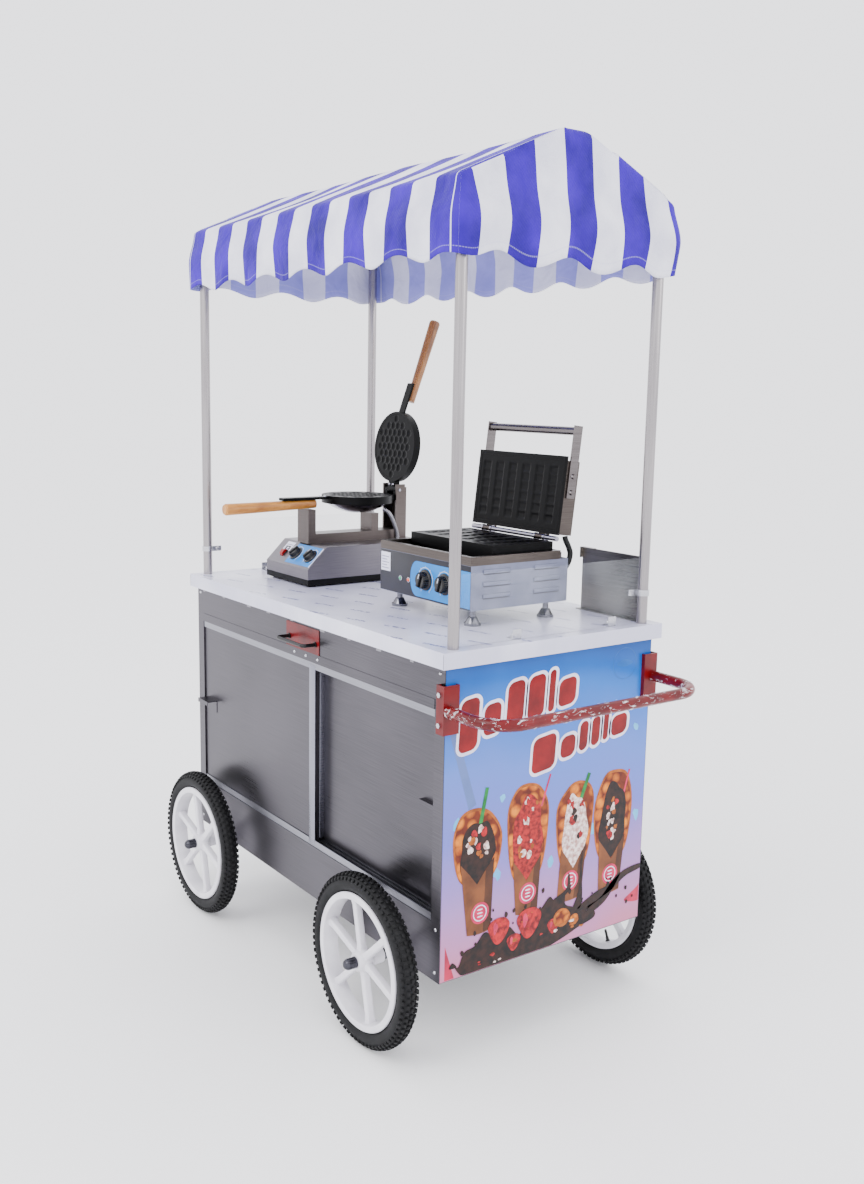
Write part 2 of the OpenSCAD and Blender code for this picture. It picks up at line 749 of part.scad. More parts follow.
module bubble_lower_pan() color("black") translate([bubble_x, 0, 0]) difference() {
  union() {
    rod_z(pan_d, 0, pan_y, [pan_face_z - pan_t, pan_face_z]);
    span([-13, 13], [pan_y - pan_r - 143, pan_y - pan_r + 8], [pan_face_z - 9, pan_face_z - 2]);
    for (x = [[-tower_w / 2 + ear_t + 1, -16], [16, tower_w / 2 - ear_t - 1]]) {
      span(x, [pan_y + pan_r - 12, pan_hinge_y], [pan_face_z - 18, pan_face_z - 2]);
      span(x, [pan_hinge_y - 9, pan_hinge_y + 4], [pan_face_z - 18, pan_hinge_z]);
      rod_x(knuckle_d, x, pan_hinge_y, pan_hinge_z);
    }
  }
  rod_z(pan_d - 16, 0, pan_y, [pan_face_z - recess, pan_face_z + 1]);
  rod_x(pin_d + 2 * fit, [-tower_w, tower_w], pan_hinge_y, pan_hinge_z);
}

module bubble_lower_grip() color("burlywood") {
  translate([bubble_x, pan_y - pan_r - 38, pan_face_z - 9 - wood_d0 / 2]) rotate([1.2, 0, 0])
    wood_grip(lower_wood_l);
}

// Pieces of the upper pan are drawn shut, then swung up to rest
module pan_swing() {
  translate([bubble_x, pan_hinge_y, pan_hinge_z]) rotate([-pan_open, 0, 0])
    translate([0, -pan_hinge_y, -pan_hinge_z]) children();
}

module bubble_upper_pan() color("black") pan_swing() difference() {
  z0 = pan_face_z + gap;
  union() {
    rod_z(pan_d, 0, pan_y, [z0, z0 + pan_t]);
    translate([0, pan_y - pan_r + 6, z0 + 12]) rotate([-14, 0, 0]) span([-13, 13], [-94, 0], [0, 6]);
    span([-15, 15], [pan_y + pan_r - 12, pan_hinge_y], [z0 + 4, z0 + pan_t]);
    rod_x(knuckle_d, [-15, 15], pan_hinge_y, pan_hinge_z);
  }
  rod_z(pan_d - 16, 0, pan_y, [z0 - 1, z0 + recess]);
  rod_x(pin_d + 2 * fit, [-20, 20], pan_hinge_y, pan_hinge_z);
}

module bubble_upper_cover() color("lightgray") pan_swing() {
  translate([0, pan_y, pan_face_z + gap + pan_t]) mirror([0, 0, 1]) heater_dish();
}

module bubble_upper_grip() color("peru") pan_swing() {
  translate([0, pan_y - pan_r + 6, pan_face_z + gap + 12]) rotate([-14, 0, 0])
    translate([0, -44, 7 + wood_d0 / 2]) wood_grip(upper_wood_l);
}

// A control knob with a skirt, a grip bar and a spindle below z = 0
module knob(d) {
  translate([0, 0, gap]) cylinder(d = d, h = 3);
  translate([0, 0, gap + 3]) cylinder(d1 = 0.8 * d, d2 = 0.74 * d, h = 15);
  translate([0, 0, gap + 20]) cube([0.18 * d, 0.78 * d, 7], center = true);
  translate([0, 0, -12]) cylinder(d = 6, h = 14);
}
module bubble_knob(x) color("black") {
  translate([bubble_x, 0, 0]) on_slope(x, slope_l / 2) translate([0, 0, label_t]) knob(bubble_knob_d);
}
module bubble_knob_left() bubble_knob(bubble_knobs[0]);
module bubble_knob_right() bubble_knob(bubble_knobs[1]);

module bubble_switch() color("red") translate([bubble_x, 0, 0])
  on_slope(switch_x, slope_l / 2 - 6) rotate([10, 0, 0]) intersection() {
    cube([switch_w, switch_l, 16], center = true);
    rod_x(switch_l + 1, [-switch_w, switch_w], 0, -2);
  }

module bubble_conduit() color("gray") translate([bubble_x, 0, 0]) {
  swept_bar([
    [44, pan_y + 60, pan_face_z - 40], [50, pan_y + 72, pan_face_z - 48],
    [54, pan_y + 82, pan_face_z - 62], [55, pan_y + 90, pan_face_z - 80],
    [54, pan_y + 98, pan_face_z - 98], [52, pan_y + 104, pan_face_z - 114],
    [52, pan_y + 106, deck_z + gap]], 11, 12);
}

// ---- Stick waffle maker ----

module stick_feet() color("darkgray") translate([stick_x, 0, 0])
  for (x = [-1, 1]) for (y = [stick_y0 + foot_in, stick_y1 - foot_in])
    translate([x * (stick_w / 2 - foot_in), y, counter_h]) {
      cylinder(d = foot_d, h = 6);
      translate([0, 0, 6]) cylinder(d1 = foot_d - 4, d2 = 20, h = 14);
      cylinder(d = 14, h = stick_z0 - counter_h);
    }

module stick_housing() color("slategray") translate([stick_x, 0, 0]) difference() {
  wall = 1.2;
  x = stick_w / 2;
  union() {
    span([-x, x], [stick_y0, stick_y1], [stick_z0, stick_z1]);
    for (s = [-1, 1]) for (y = [stick_y0 + 38, stick_y1 - 102]) for (row = [0 : 2])
      span(s > 0 ? [x, x + louvre_t] : [-x - louvre_t, -x], [y, y + louvre_l],
           [stick_z0 + louvre_pitch * (row + 1), stick_z0 + louvre_pitch * (row + 1) + 5]);
  }
  span([wall - x, x - wall], [stick_y0 + wall, stick_y1 - wall], [stick_z0 + wall, stick_z1 + 1]);
  for (x = stick_knobs) rod_y(6 + 2 * fit, x, [stick_y0 - 1, stick_y0 + 5], stick_knob_z);
}

module stick_tray() color("silver") translate([stick_x, 0, 0]) difference() {
  x = stick_w / 2;
  y = [stick_y0, stick_y1 - tray_back];
  span([-x, x], y, [stick_z1, stick_z1 + tray_h]);
  span([12 - x, x - 12], [y[0] + 12, y[1] - 2], [stick_z1 + tray_t, stick_z1 + tray_h + 1]);
}

module stick_lower_plate() color("black") translate([stick_x, 0, 0]) difference() {
  x = plate_w / 2;
  union() {
    span([-x, x], [plate_y0, plate_y1 - 4], [plate_z - plate_t, plate_z]);
    span([16 - x, x - 16], [plate_y0 + 16, plate_y1 - 20], [stick_z1 + tray_t, plate_z - plate_t]);
  }
  span([10 - x, x - 10], [plate_y0 + 10, plate_y1 - 14], [plate_z - recess, plate_z + 1]);
}

// Pieces of the lid are drawn shut, then swung up to rest
module lid_swing() {
  translate([stick_x, lid_hinge_y, lid_hinge_z]) rotate([-lid_open, 0, 0])
    translate([0, -lid_hinge_y, -lid_hinge_z]) children();
}

module stick_upper_plate() color("black") lid_swing() difference() {
  x = plate_w / 2;
  span([-x, x], [plate_y0, plate_y1], [plate_z + gap, plate_z + 10]);
  span([10 - x, x - 10], [plate_y0 + 10, plate_y1 - 10], [plate_z, plate_z + gap + recess]);
}

module stick_lid_casing() color("dimgray") lid_swing() difference() {
  x = plate_w / 2 - 2;
  z = [plate_z + 10, plate_z + 10 + casing_t];
  union() {
    span([-x, x], [plate_y0 + casing_trim, plate_y1 - 1], z);
    for (s = [-1, 1]) {
      lug = [s * lug_x - lug_w / 2, s * lug_x + lug_w / 2];
      span(lug, [plate_y1 - 6, lid_hinge_y + 5], [z[0], z[0] + 12]);
      rod_x(14, lug, lid_hinge_y, lid_hinge_z);
    }
  }
  span([3 - x, x - 3], [plate_y0 + casing_trim + 3, plate_y1 - 4], [z[0] - 1, z[1] - 2]);
  for (s = [-1, 1])
    rod_x(pin_d + 2 * fit, [s * lug_x - lug_w, s * lug_x + lug_w], lid_hinge_y, lid_hinge_z);
}

module stick_lid_handle() color("dimgray") lid_swing() {
  x = plate_w / 2 - 2;
  grip_y = plate_y0 - 74;
  z = plate_z + 30;
  for (s = [-1, 1]) {
    span(s > 0 ? [x, x + strap_t] : [-x - strap_t, -x], [grip_y, grip_y + strap_l],
         [z - strap_w / 2, z + strap_w / 2]);
    for (y = [grip_y + strap_l - 14, grip_y + strap_l - 52])
      translate([s * (x + strap_t), y, z]) rotate([0, 90 * s, 0]) cylinder(d1 = 13, d2 = 9, h = 4);
  }
  rod_x(hoop_d, [-x, x], grip_y + hoop_d / 2 + 3, z);
}

// Bearing ears and hinge tube on the machine, and the pins of both waffle makers
module lid_hinges() color("silver") {
  translate([stick_x, 0, 0]) {
    near = lug_w / 2 + gap;
    far = near + ear_t;
    foot_y = [stick_y1 - tray_back + 0.5, stick_y1 - 2];
    tube_end = plate_w / 2;
    difference() {
      union() {
        span([-tube_end, tube_end], foot_y, [stick_z1, stick_z1 + 12]);
        for (s = [-1, 1]) for (e = [-far, near]) {
          x = [s * lug_x + e, s * lug_x + e + ear_t];
          span(x, [foot_y[0], lid_hinge_y + ear_r], [stick_z1, lid_hinge_z]);
          rod_x(2 * ear_r, x, lid_hinge_y, lid_hinge_z);
        }
      }
      for (s = [-1, 1])
        rod_x(pin_d + 2 * fit, [s * lug_x - lug_w, s * lug_x + lug_w], lid_hinge_y, lid_hinge_z);
    }
    for (s = [-1, 1])
      rod_x(pin_d, [s * lug_x - far, s * lug_x + far], lid_hinge_y, lid_hinge_z);
    rod_x(hinge_tube_d, [far - lug_x - 1, lug_x - far + 1], lid_hinge_y, lid_hinge_z);
    for (x = [[-tube_end, 1 - lug_x - far], [lug_x + far - 1, tube_end]])
      rod_x(hinge_tube_d, x, lid_hinge_y, lid_hinge_z);
  }
  translate([bubble_x, 0, 0])
    rod_x(pin_d, [-tower_w / 2 - 2, tower_w / 2 + 2], pan_hinge_y, pan_hinge_z);
}

module stick_knob(x) color("black")
  translate([stick_x + x, stick_y0 - label_t, stick_knob_z]) rotate([90, 0, 0]) knob(stick_knob_d);
module stick_knob_left() stick_knob(stick_knobs[0]);
module stick_knob_right() stick_knob(stick_knobs[1]);

// The conduit from the lid to the housing, as it hangs with the lid open
module stick_conduit() color("black")
  translate([stick_x + plate_w / 2 - 10, lid_hinge_y, lid_hinge_z]) {
    low = -73;
    swept_bar([
      [0, 34, 3], [1, 36, -6], [3, 43, -20], [5, 48, -36], [6, 45, -52], [7, 37, -65],
      [8, 27, low], [8, stick_y1 - lid_hinge_y + gap, low]], 14, 12);
  }

// Printed panels, indicator lamps, and the holes round the knob spindles
module machine_labels() color("deepskyblue") {
  translate([bubble_x, 0, 0]) difference() {
    union() {
      on_slope(0, 0) span([-40, bubble_w / 2 - 3], [3, slope_l - 4], [0, label_t]);
      on_slope(0, 0) span([-100, -58], [slope_l - 22, slope_l - 4], [0, label_t]);
    }
    for (x = bubble_knobs) on_slope(x, slope_l / 2) cylinder(d = 8, h = 4, center = true);
  }
  translate([stick_x, stick_y0, stick_z0]) difference() {
    union() {
      span([-22, stick_w / 2 - 4], [-label_t, 0], [6, stick_h - 12]);
      span([6 - stick_w / 2, 50 - stick_w / 2], [-label_t, 0], [60, stick_h - 3]);
      for (x = [-88, -57]) rod_y(10, x, [-5, 0], stick_h / 2 - 4);
    }
    for (x = stick_knobs) rod_y(8, x, [-2, 1], stick_h / 2 - 3);
  }
}

// ---- Assembly ----

from_cabinet_centre() counter_top();
from_cabinet_centre() front_frame();
from_cabinet_centre() end_panel(-1);  // end_panel_left
from_cabinet_centre() end_panel(1);  // end_panel_right
from_cabinet_centre() back_panel();
from_cabinet_centre() cabinet_floor();
from_cabinet_centre() door_tracks();
from_cabinet_centre() drawer_runners();
from_cabinet_centre() cart_fasteners();
from_cabinet_centre() end_graphic();
from_cabinet_centre() canopy_posts();
from_cabinet_centre() canopy_frame();
from_cabinet_centre() canopy_cloth();
from_cabinet_centre() wind_guards();
from_cabinet_centre() guard_brackets();
from_cabinet_centre() splash_guard();
from_cabinet_centre() push_handle();
from_cabinet_centre() handle_brackets();
from_cabinet_centre() wheel_axles();
from_cabinet_centre() axle_brackets();
from_cabinet_centre() axle_sleeves();
from_cabinet_centre() axle_caps();
from_cabinet_centre() rim_front_left();
from_cabinet_centre() tyre_front_left();
from_cabinet_centre() rim_front_right();
from_cabinet_centre() tyre_front_right();
from_cabinet_centre() rim_back_left();
from_cabinet_centre() tyre_back_left();
from_cabinet_centre() rim_back_right();
from_cabinet_centre() tyre_back_right();
from_cabinet_centre() door_outer();
from_cabinet_centre() door_inner();
from_cabinet_centre() drawer_box();
from_cabinet_centre() drawer_front();
from_cabinet_centre() drawer_handle();
from_cabinet_centre() bubble_base();
from_cabinet_centre() bubble_housing();
from_cabinet_centre() bubble_stand();
from_cabinet_centre() bubble_heater();
from_cabinet_centre() bubble_lower_pan();
from_cabinet_centre() bubble_lower_grip();
from_cabinet_centre() bubble_upper_pan();
from_cabinet_centre() bubble_upper_cover();
from_cabinet_centre() bubble_upper_grip();
from_cabinet_centre() bubble_knob_left();
from_cabinet_centre() bubble_knob_right();
from_cabinet_centre() bubble_switch();
from_cabinet_centre() bubble_conduit();
from_cabinet_centre() stick_feet();
from_cabinet_centre() stick_housing();
from_cabinet_centre() stick_tray();
from_cabinet_centre() stick_lower_plate();
from_cabinet_centre() stick_lid_casing();
from_cabinet_centre() stick_upper_plate();
from_cabinet_centre() stick_lid_handle();
from_cabinet_centre() stick_knob_left();
from_cabinet_centre() stick_knob_right();
from_cabinet_centre() stick_conduit();
from_cabinet_centre() machine_labels();
from_cabinet_centre() lid_hinges();
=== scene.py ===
import math
import random

import bmesh
import bpy
from mathutils import Matrix, Vector, noise


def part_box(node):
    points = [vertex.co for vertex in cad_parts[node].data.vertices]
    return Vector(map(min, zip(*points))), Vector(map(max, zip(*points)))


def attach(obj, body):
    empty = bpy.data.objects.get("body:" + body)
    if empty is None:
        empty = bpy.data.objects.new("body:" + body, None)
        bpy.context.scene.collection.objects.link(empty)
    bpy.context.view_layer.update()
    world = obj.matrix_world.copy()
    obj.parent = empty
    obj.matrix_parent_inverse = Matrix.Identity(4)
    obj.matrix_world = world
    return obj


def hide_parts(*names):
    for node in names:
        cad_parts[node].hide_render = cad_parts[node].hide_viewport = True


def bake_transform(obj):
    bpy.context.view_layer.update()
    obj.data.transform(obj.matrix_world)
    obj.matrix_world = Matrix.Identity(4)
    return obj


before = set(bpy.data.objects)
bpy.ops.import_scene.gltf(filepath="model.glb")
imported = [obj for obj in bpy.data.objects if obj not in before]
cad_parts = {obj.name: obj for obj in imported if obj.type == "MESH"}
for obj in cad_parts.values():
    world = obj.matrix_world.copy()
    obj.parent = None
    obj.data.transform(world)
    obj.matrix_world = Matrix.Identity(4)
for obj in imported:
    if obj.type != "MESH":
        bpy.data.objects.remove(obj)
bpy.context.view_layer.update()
MM = 0.001

# ---- Camera, floor and light ----
# A pale studio sweep, a large key light to the left of the doors, a softer one over the
# printed end, and a bright surround that the steel can mirror.


def linear(colour):
    """An sRGB hex colour as the linear numbers that the shaders take."""
    shares = [int(colour[i:i + 2], 16) / 255 for i in (1, 3, 5)]
    return [*(s / 12.92 if s <= 0.04045 else ((s + 0.055) / 1.055) ** 2.4 for s in shares), 1.0]


def feed(node, inputs):
    """Sets a node's inputs, each to a value, a socket or the first output of another node."""
    for name, value in inputs.items():
        if isinstance(value, bpy.types.Node):
            value = value.outputs[0]
        if isinstance(value, bpy.types.NodeSocket):
            node.id_data.links.new(value, node.inputs[name])
        else:
            node.inputs[name].default_value = value


def add_node(material, kind, inputs=None, stops=(), **settings):
    """Adds one shader node with its settings and inputs, and a ramp's stops."""
    made = material.node_tree.nodes.new("ShaderNode" + kind)
    for k, (place, colour) in enumerate(stops):
        ends = made.color_ramp.elements
        stop = ends[k] if k < 2 else ends.new(place)
        stop.position, stop.color = place, linear(colour)
    for name, value in settings.items():
        setattr(made, name, value)
    feed(made, inputs or {})
    return made


def new_material(name, colour, roughness, **sockets):
    """A material whose shader has these constants, and its shader node."""
    material = bpy.data.materials.new(name)
    material.use_nodes = True
    shader = material.node_tree.nodes["Principled BSDF"]
    shader.inputs["Base Color"].default_value = linear(colour)
    shader.inputs["Roughness"].default_value = roughness
    for socket, value in sockets.items():
        shader.inputs[socket.replace("_", " ").title().replace("Ior", "IOR")].default_value = value
    return material, shader


def moved(x, y, z):
    """A shift, as a matrix."""
    return Matrix.Translation((x, y, z))


def spun(degrees, axis):
    """A turn about an axis through the origin, as a matrix."""
    return Matrix.Rotation(math.radians(degrees), 4, axis)


bpy.ops.object.camera_add()
camera = bpy.context.object
camera.matrix_world = (moved(2.418, -1.7095, 1.4658) @ spun(53.93, "Z") @ spun(90 - 9.61, "X")
                       @ spun(1.10, "Z"))
camera.data.lens = 35.7
bpy.context.scene.camera = camera

bpy.ops.mesh.primitive_plane_add(size=60)
floor = bpy.context.object
floor.name = "studio_floor"
floor.data.materials.append(new_material("studio_paper", "#FFFFFF", 0.7)[0])

world = bpy.data.worlds.new("studio")
bpy.context.scene.world = world
world.use_nodes = True
world.node_tree.nodes["Background"].inputs["Color"].default_value = linear("#F6F6FB")
world.node_tree.nodes["Background"].inputs["Strength"].default_value = 2.6


def soft_light(name, place, target, size, power):
    bpy.ops.object.light_add(type="AREA", location=place)
    lamp = bpy.context.object
    lamp.name = name
    lamp.rotation_euler = (Vector(target) - Vector(place)).to_track_quat("-Z", "Y").to_euler()
    lamp.data.size = size
    lamp.data.energy = power


soft_light("key_light", (0.6, -3.2, 3.6), (0, 0, 1.0), 2.2, 90)
soft_light("end_light", (4.2, 1.6, 2.8), (0.4, 0, 0.8), 2.0, 45)

# ---- Cabinet sheets: front frame, ends, back, floor, tracks, runners and drawer box ----
# Brushed stainless sheet, folded and riveted. The brushing runs along the sheet, so it shows
# as long fine streaks, and handling leaves soft cloudy marks.
def show_as(material, *nodes):
    """Gives CAD nodes their finish."""
    for name in nodes:
        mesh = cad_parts[name].data
        mesh.materials.clear()
        mesh.materials.append(material)


def brushed_metal(name, light, dark, roughness, streak, upright=False):
    """A brushed metal: streaks this many mm wide lie level, or upright, under cloudy handling marks."""
    metal, shader = new_material(name, light, roughness, metallic=1.0)
    place = add_node(metal, "TexCoord").outputs["Object"]
    fine = 1 / (streak * MM)
    along = add_node(metal, "Mapping", {"Vector": place, "Scale": (
        (fine, fine, fine / 120) if upright else (fine / 120, fine / 120, fine))})
    streaks = add_node(metal, "TexNoise", {"Vector": along, "Scale": 1.0,
                                           "Detail": 4.0})
    clouds = add_node(metal, "TexNoise", {"Vector": place, "Scale": 3.0, "Detail": 2.0})
    both = add_node(metal, "Math", {0: streaks, 1: clouds}, operation="ADD")
    half = add_node(metal, "Math", {0: both, 1: 0.5}, operation="MULTIPLY")
    tone = add_node(metal, "ValToRGB", {"Fac": half}, stops=((0.36, dark), (0.62, light)))
    rough = add_node(metal, "MapRange", {"Value": half, "From Min": 0.35, "From Max": 0.65,
                                         "To Min": roughness - 0.06, "To Max": roughness + 0.08})
    relief = add_node(metal, "Bump", {"Height": streaks, "Distance": 0.00004, "Strength": 1.0})
    feed(shader, {"Base Color": tone, "Roughness": rough, "Normal": relief})
    return metal


cabinet_steel = brushed_metal("brushed_stainless_sheet", "#5D5A60", "#48464B", 0.33, 1.2)
show_as(cabinet_steel, "front_frame", "end_panel_left", "end_panel_right", "back_panel",
        "cabinet_floor", "drawer_runners", "drawer_box", "axle_brackets")
track_metal = brushed_metal("extruded_aluminium", "#96969E", "#82828A", 0.34, 1.0)
show_as(track_metal, "door_tracks")
zinc = brushed_metal("bright_zinc", "#C9C9CE", "#B4B4BA", 0.22, 0.8)
show_as(zinc, "cart_fasteners")


# ---- Sliding doors ----
# Folded stainless skins. The outer door ends in a rolled edge that the inner one's folded edge
# passes behind.
def deselect():
    """Leaves edit mode and selects nothing, so the next operator acts on its own piece alone."""
    if bpy.context.object and bpy.context.object.mode == "EDIT":
        bpy.ops.object.mode_set(mode="OBJECT")
    bpy.ops.object.select_all(action="DESELECT")


def modified(piece, kind, **settings):
    """Adds one modifier to a piece and applies it."""
    made = piece.modifiers.new(kind, kind)
    for name, value in settings.items():
        setattr(made, name, value)
    bpy.context.view_layer.objects.active = piece
    bpy.ops.object.modifier_apply(modifier=made.name)
    return piece


def finished(piece, name, material, body, slot, *replaced, smooth=40):
    """Puts a piece's place into its mesh and names it, with its finish, its body and what it hides."""
    deselect()
    piece.select_set(True)
    bpy.context.view_layer.objects.active = piece
    if piece.type != "MESH":
        bpy.ops.object.convert(target="MESH")
    bpy.ops.object.transform_apply(location=True, rotation=True, scale=True)
    if smooth:
        bpy.ops.object.shade_smooth_by_angle(angle=math.radians(smooth))
    piece.name = piece.data.name = name
    if material:
        piece.data.materials.clear()
        piece.data.materials.append(material)
    if body:
        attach(piece, body)
    if replaced:
        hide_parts(*replaced)
    return piece


def block(low, high, bevel=0.0, segments=2):
    """A box from its lowest to its highest corner, with its edges rounded."""
    deselect()
    low, high = Vector(low), Vector(high)
    bpy.ops.mesh.primitive_cube_add(size=1, location=(low + high) / 2, scale=high - low)
    piece = bpy.context.object
    bpy.ops.object.transform_apply(location=True, rotation=True, scale=True)
    if bevel:
        modified(piece, "BEVEL", width=bevel, segments=segments)
    return piece


show_as(cabinet_steel, "door_outer", "door_inner")
door_low, door_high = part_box("door_outer")
door_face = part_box("front_frame")[0].y + 3.7 * MM
edge = block((door_high.x - 29 * MM, door_face - 1.6 * MM, door_low.z + 2 * MM),
             (door_high.x - 1 * MM, door_face - 0.1 * MM, door_high.z - 2 * MM), 0.7 * MM, 3)
# Both door edges take a lighter copy of the sheet steel: a painted highlight along the folds.
highlight_edge_steel = brushed_metal("edge_stainless_painted_highlight", "#9494A0", "#7E7F8A", 0.3, 1.2)
finished(edge, "door_outer_rolled_edge", highlight_edge_steel, "outer_door", "brushed_stainless")
# The inner door's edge is folded forward and stops short of the outer door and of the track lips
inner_low, inner_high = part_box("door_inner")
fold = block((door_high.x - 12 * MM, door_high.y + 1.5 * MM, inner_low.z + 20 * MM),
             (door_high.x + 2 * MM, inner_high.y - 6.6 * MM, inner_high.z - 20 * MM), 0.7 * MM, 3)
finished(fold, "door_inner_folded_edge", highlight_edge_steel, "inner_door", "brushed_stainless")

# ---- Counter film ----
# A milky protective film still lies on the counter, printed all over with small slanted marks
# in pale blue. Here the marks are plain dashes.
film, shader = new_material("counter_protective_film", "#E4E4F2", 0.3, coat_weight=0.35,
                            coat_roughness=0.18)
place = add_node(film, "Mapping", {
    "Vector": add_node(film, "TexCoord").outputs["Object"],
    "Rotation": (0, 0, math.radians(-21)), "Scale": (1 / 0.125, 1 / 0.085, 1)})
split = add_node(film, "SeparateXYZ", {"Vector": place})
row = add_node(film, "Math", {0: split.outputs["Y"]}, operation="FLOOR")
shifted = add_node(film, "Math", {0: row, 1: 0.37, 2: split.outputs["X"]}, operation="MULTIPLY_ADD")
marks = None
for axis, half in ((shifted, 0.26), (split.outputs["Y"], 0.058)):
    inside = add_node(film, "Math", {0: axis}, operation="FRACT")
    off = add_node(film, "Math", {0: inside, 1: 0.5}, operation="SUBTRACT")
    near = add_node(film, "Math", {0: add_node(film, "Math", {0: off}, operation="ABSOLUTE"),
                                   1: half}, operation="LESS_THAN")
    marks = near if marks is None else add_node(film, "Math", {0: marks, 1: near},
                                                operation="MULTIPLY")
object_place = add_node(film, "TexCoord").outputs["Object"]
flecks = add_node(film, "TexNoise", {"Vector": object_place, "Scale": 190.0, "Detail": 2.0})
broken = add_node(film, "Math", {0: flecks, 1: 0.47}, operation="GREATER_THAN")
facing = add_node(film, "SeparateXYZ", {"Vector": add_node(film, "TexCoord").outputs["Normal"]})
on_top = add_node(film, "Math", {0: facing.outputs["Z"], 1: 0.5}, operation="GREATER_THAN")
printed = add_node(film, "Math", {0: marks, 1: broken}, operation="MULTIPLY")
printed = add_node(film, "Math", {0: printed, 1: on_top}, operation="MULTIPLY")
clouds = add_node(film, "TexNoise", {"Vector": object_place, "Scale": 5.0, "Detail": 3.0})
tint = add_node(film, "ValToRGB", {"Fac": clouds}, stops=((0.35, "#C2C2D8"), (0.65, "#DEDEEE")))
inked = add_node(film, "MixRGB", {"Fac": printed, "Color1": tint,
                                  "Color2": linear("#4C4E92")})
creases = add_node(film, "TexNoise", {"Vector": object_place, "Scale": 12.0, "Detail": 6.0})
relief = add_node(film, "Bump", {"Height": creases, "Distance": 0.0016, "Strength": 1.0})
feed(shader, {"Base Color": inked, "Normal": relief})
show_as(film, "counter_top")

# Where the film was trimmed under the lip it hangs down in small torn tabs, about a hand apart.
counter_low, counter_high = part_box("counter_top")
# The tabs are coloured dark grey, far darker than the milky film on top: painted shade under the lip.
shaded_torn_film = new_material("torn_film_edge_painted_shade", "#77757C", 0.4)[0]
tabs = random.Random(4)
for k in range(9):
    x = counter_low.x + (0.09 + 0.125 * k) + tabs.uniform(-0.012, 0.012)
    wide, drop = tabs.uniform(0.012, 0.022), tabs.uniform(0.003, 0.006)
    tab = block((x, counter_low.y + 0.2 * MM, counter_low.z - drop),
                (x + wide, counter_low.y + 0.8 * MM, counter_low.z + 2 * MM), 0.2 * MM, 1)
    finished(tab, f"film_tab_{k + 1}", shaded_torn_film, "cart", "brushed_stainless")

# A dark hairline of painted shade shows where the lip's two folds meet at each corner.
shadow_gap = new_material("painted_shade_gap", "#2A2A2E", 0.7)[0]
for name, x in (("left", counter_low.x), ("right", counter_high.x)):
    for side, y in (("front", counter_low.y), ("back", counter_high.y)):
        inward = 1 if x < 0 else -1
        seam = block((x + inward * 1.5 * MM - 0.6 * MM, y - 0.15 * MM, counter_low.z + 1 * MM),
                     (x + inward * 1.5 * MM + 0.6 * MM, y + 0.15 * MM, counter_high.z - 3 * MM))
        finished(seam, f"lip_seam_{side}_{name}", shadow_gap, "cart", "brushed_stainless")

# ---- Cash drawer ----
# A red enamelled front with a black wire pull.
def coated(name, light, dark, roughness, cloud, grit, depth, **sockets):
    """A moulded or painted skin: soft clouds of tone, and a grit with its size and depth in mm."""
    skin, shader = new_material(name, light, roughness, **sockets)
    place = add_node(skin, "TexCoord").outputs["Object"]
    clouds = add_node(skin, "TexNoise", {"Vector": place, "Scale": 1 / (cloud * MM), "Detail": 4.0})
    tone = add_node(skin, "ValToRGB", {"Fac": clouds}, stops=((0.3, dark), (0.7, light)))
    grains = add_node(skin, "TexNoise", {"Vector": place, "Scale": 1 / (grit * MM), "Detail": 2.0})
    relief = add_node(skin, "Bump", {"Height": grains, "Distance": depth * MM,
                                     "Strength": 1.0})
    feed(shader, {"Base Color": tone, "Normal": relief})
    return skin


red_enamel = coated("red_enamel", "#6C050B", "#4C0408", 0.3, 45, 2.4, 0.12, specular_ior_level=0.3)
show_as(red_enamel, "drawer_front", "handle_brackets", "push_handle")
black_enamel = coated("black_enamel", "#0F0F11", "#09090A", 0.3, 45, 2.4, 0.1, specular_ior_level=0.3)
show_as(black_enamel, "drawer_handle")

# ---- Wheels ----
# Moulded white rims: a deep hoop, six round spokes and a long hub, with a bicycle tyre of black
# rubber. The tread is five staggered rows of square knobs, and the rim is drilled for a valve.
def new_piece(name, cells):
    """A piece with this mesh; a bmesh is turned into one and freed."""
    mesh = cells
    if isinstance(cells, bmesh.types.BMesh):
        mesh = bpy.data.meshes.new(name)
        cells.to_mesh(mesh)
        cells.free()
    piece = bpy.data.objects.new(name, mesh)
    bpy.context.scene.collection.objects.link(piece)
    return piece


def turned(outline, steps=96):
    """Turns an outline of (radius, height) points round the Z axis."""
    deselect()
    mesh = bpy.data.meshes.new("outline")
    mesh.from_pydata([(r, 0, h) for r, h in outline], [(i, i + 1) for i in range(len(outline) - 1)], [])
    piece = new_piece("outline", mesh)
    bpy.context.view_layer.objects.active = piece
    piece.select_set(True)
    modified(piece, "SCREW", steps=steps, render_steps=steps, use_merge_vertices=True,
             merge_threshold=1e-6, use_smooth_shade=True)
    bpy.ops.object.mode_set(mode="EDIT")
    bpy.ops.mesh.select_all(action="SELECT")
    bpy.ops.mesh.remove_doubles(threshold=1e-6)
    bpy.ops.mesh.normals_make_consistent(inside=False)
    bpy.ops.object.mode_set(mode="OBJECT")
    return piece


def arc(centre, radius, start, end, steps):
    """Points (radius, height) round part of a circle, angles in degrees."""
    angles = [math.radians(start + (end - start) * k / steps) for k in range(steps + 1)]
    return [(centre[0] + radius * math.cos(a), centre[1] + radius * math.sin(a)) for a in angles]


def ring_of(piece, count, turn=0.0):
    """Repeats a piece round the Z axis, count times."""
    deselect()
    bpy.ops.object.empty_add(rotation=(0, 0, 2 * math.pi / count))
    step = bpy.context.object
    modified(piece, "ARRAY", count=count, use_relative_offset=False, use_object_offset=True,
             offset_object=step)
    bpy.data.objects.remove(step)
    piece.data.transform(Matrix.Rotation(turn, 4, "Z"))
    return piece


def joined(*parts):
    """Makes several meshes one piece."""
    deselect()
    for part in parts:
        part.select_set(True)
    bpy.context.view_layer.objects.active = parts[0]
    bpy.ops.object.join()
    return bpy.context.object


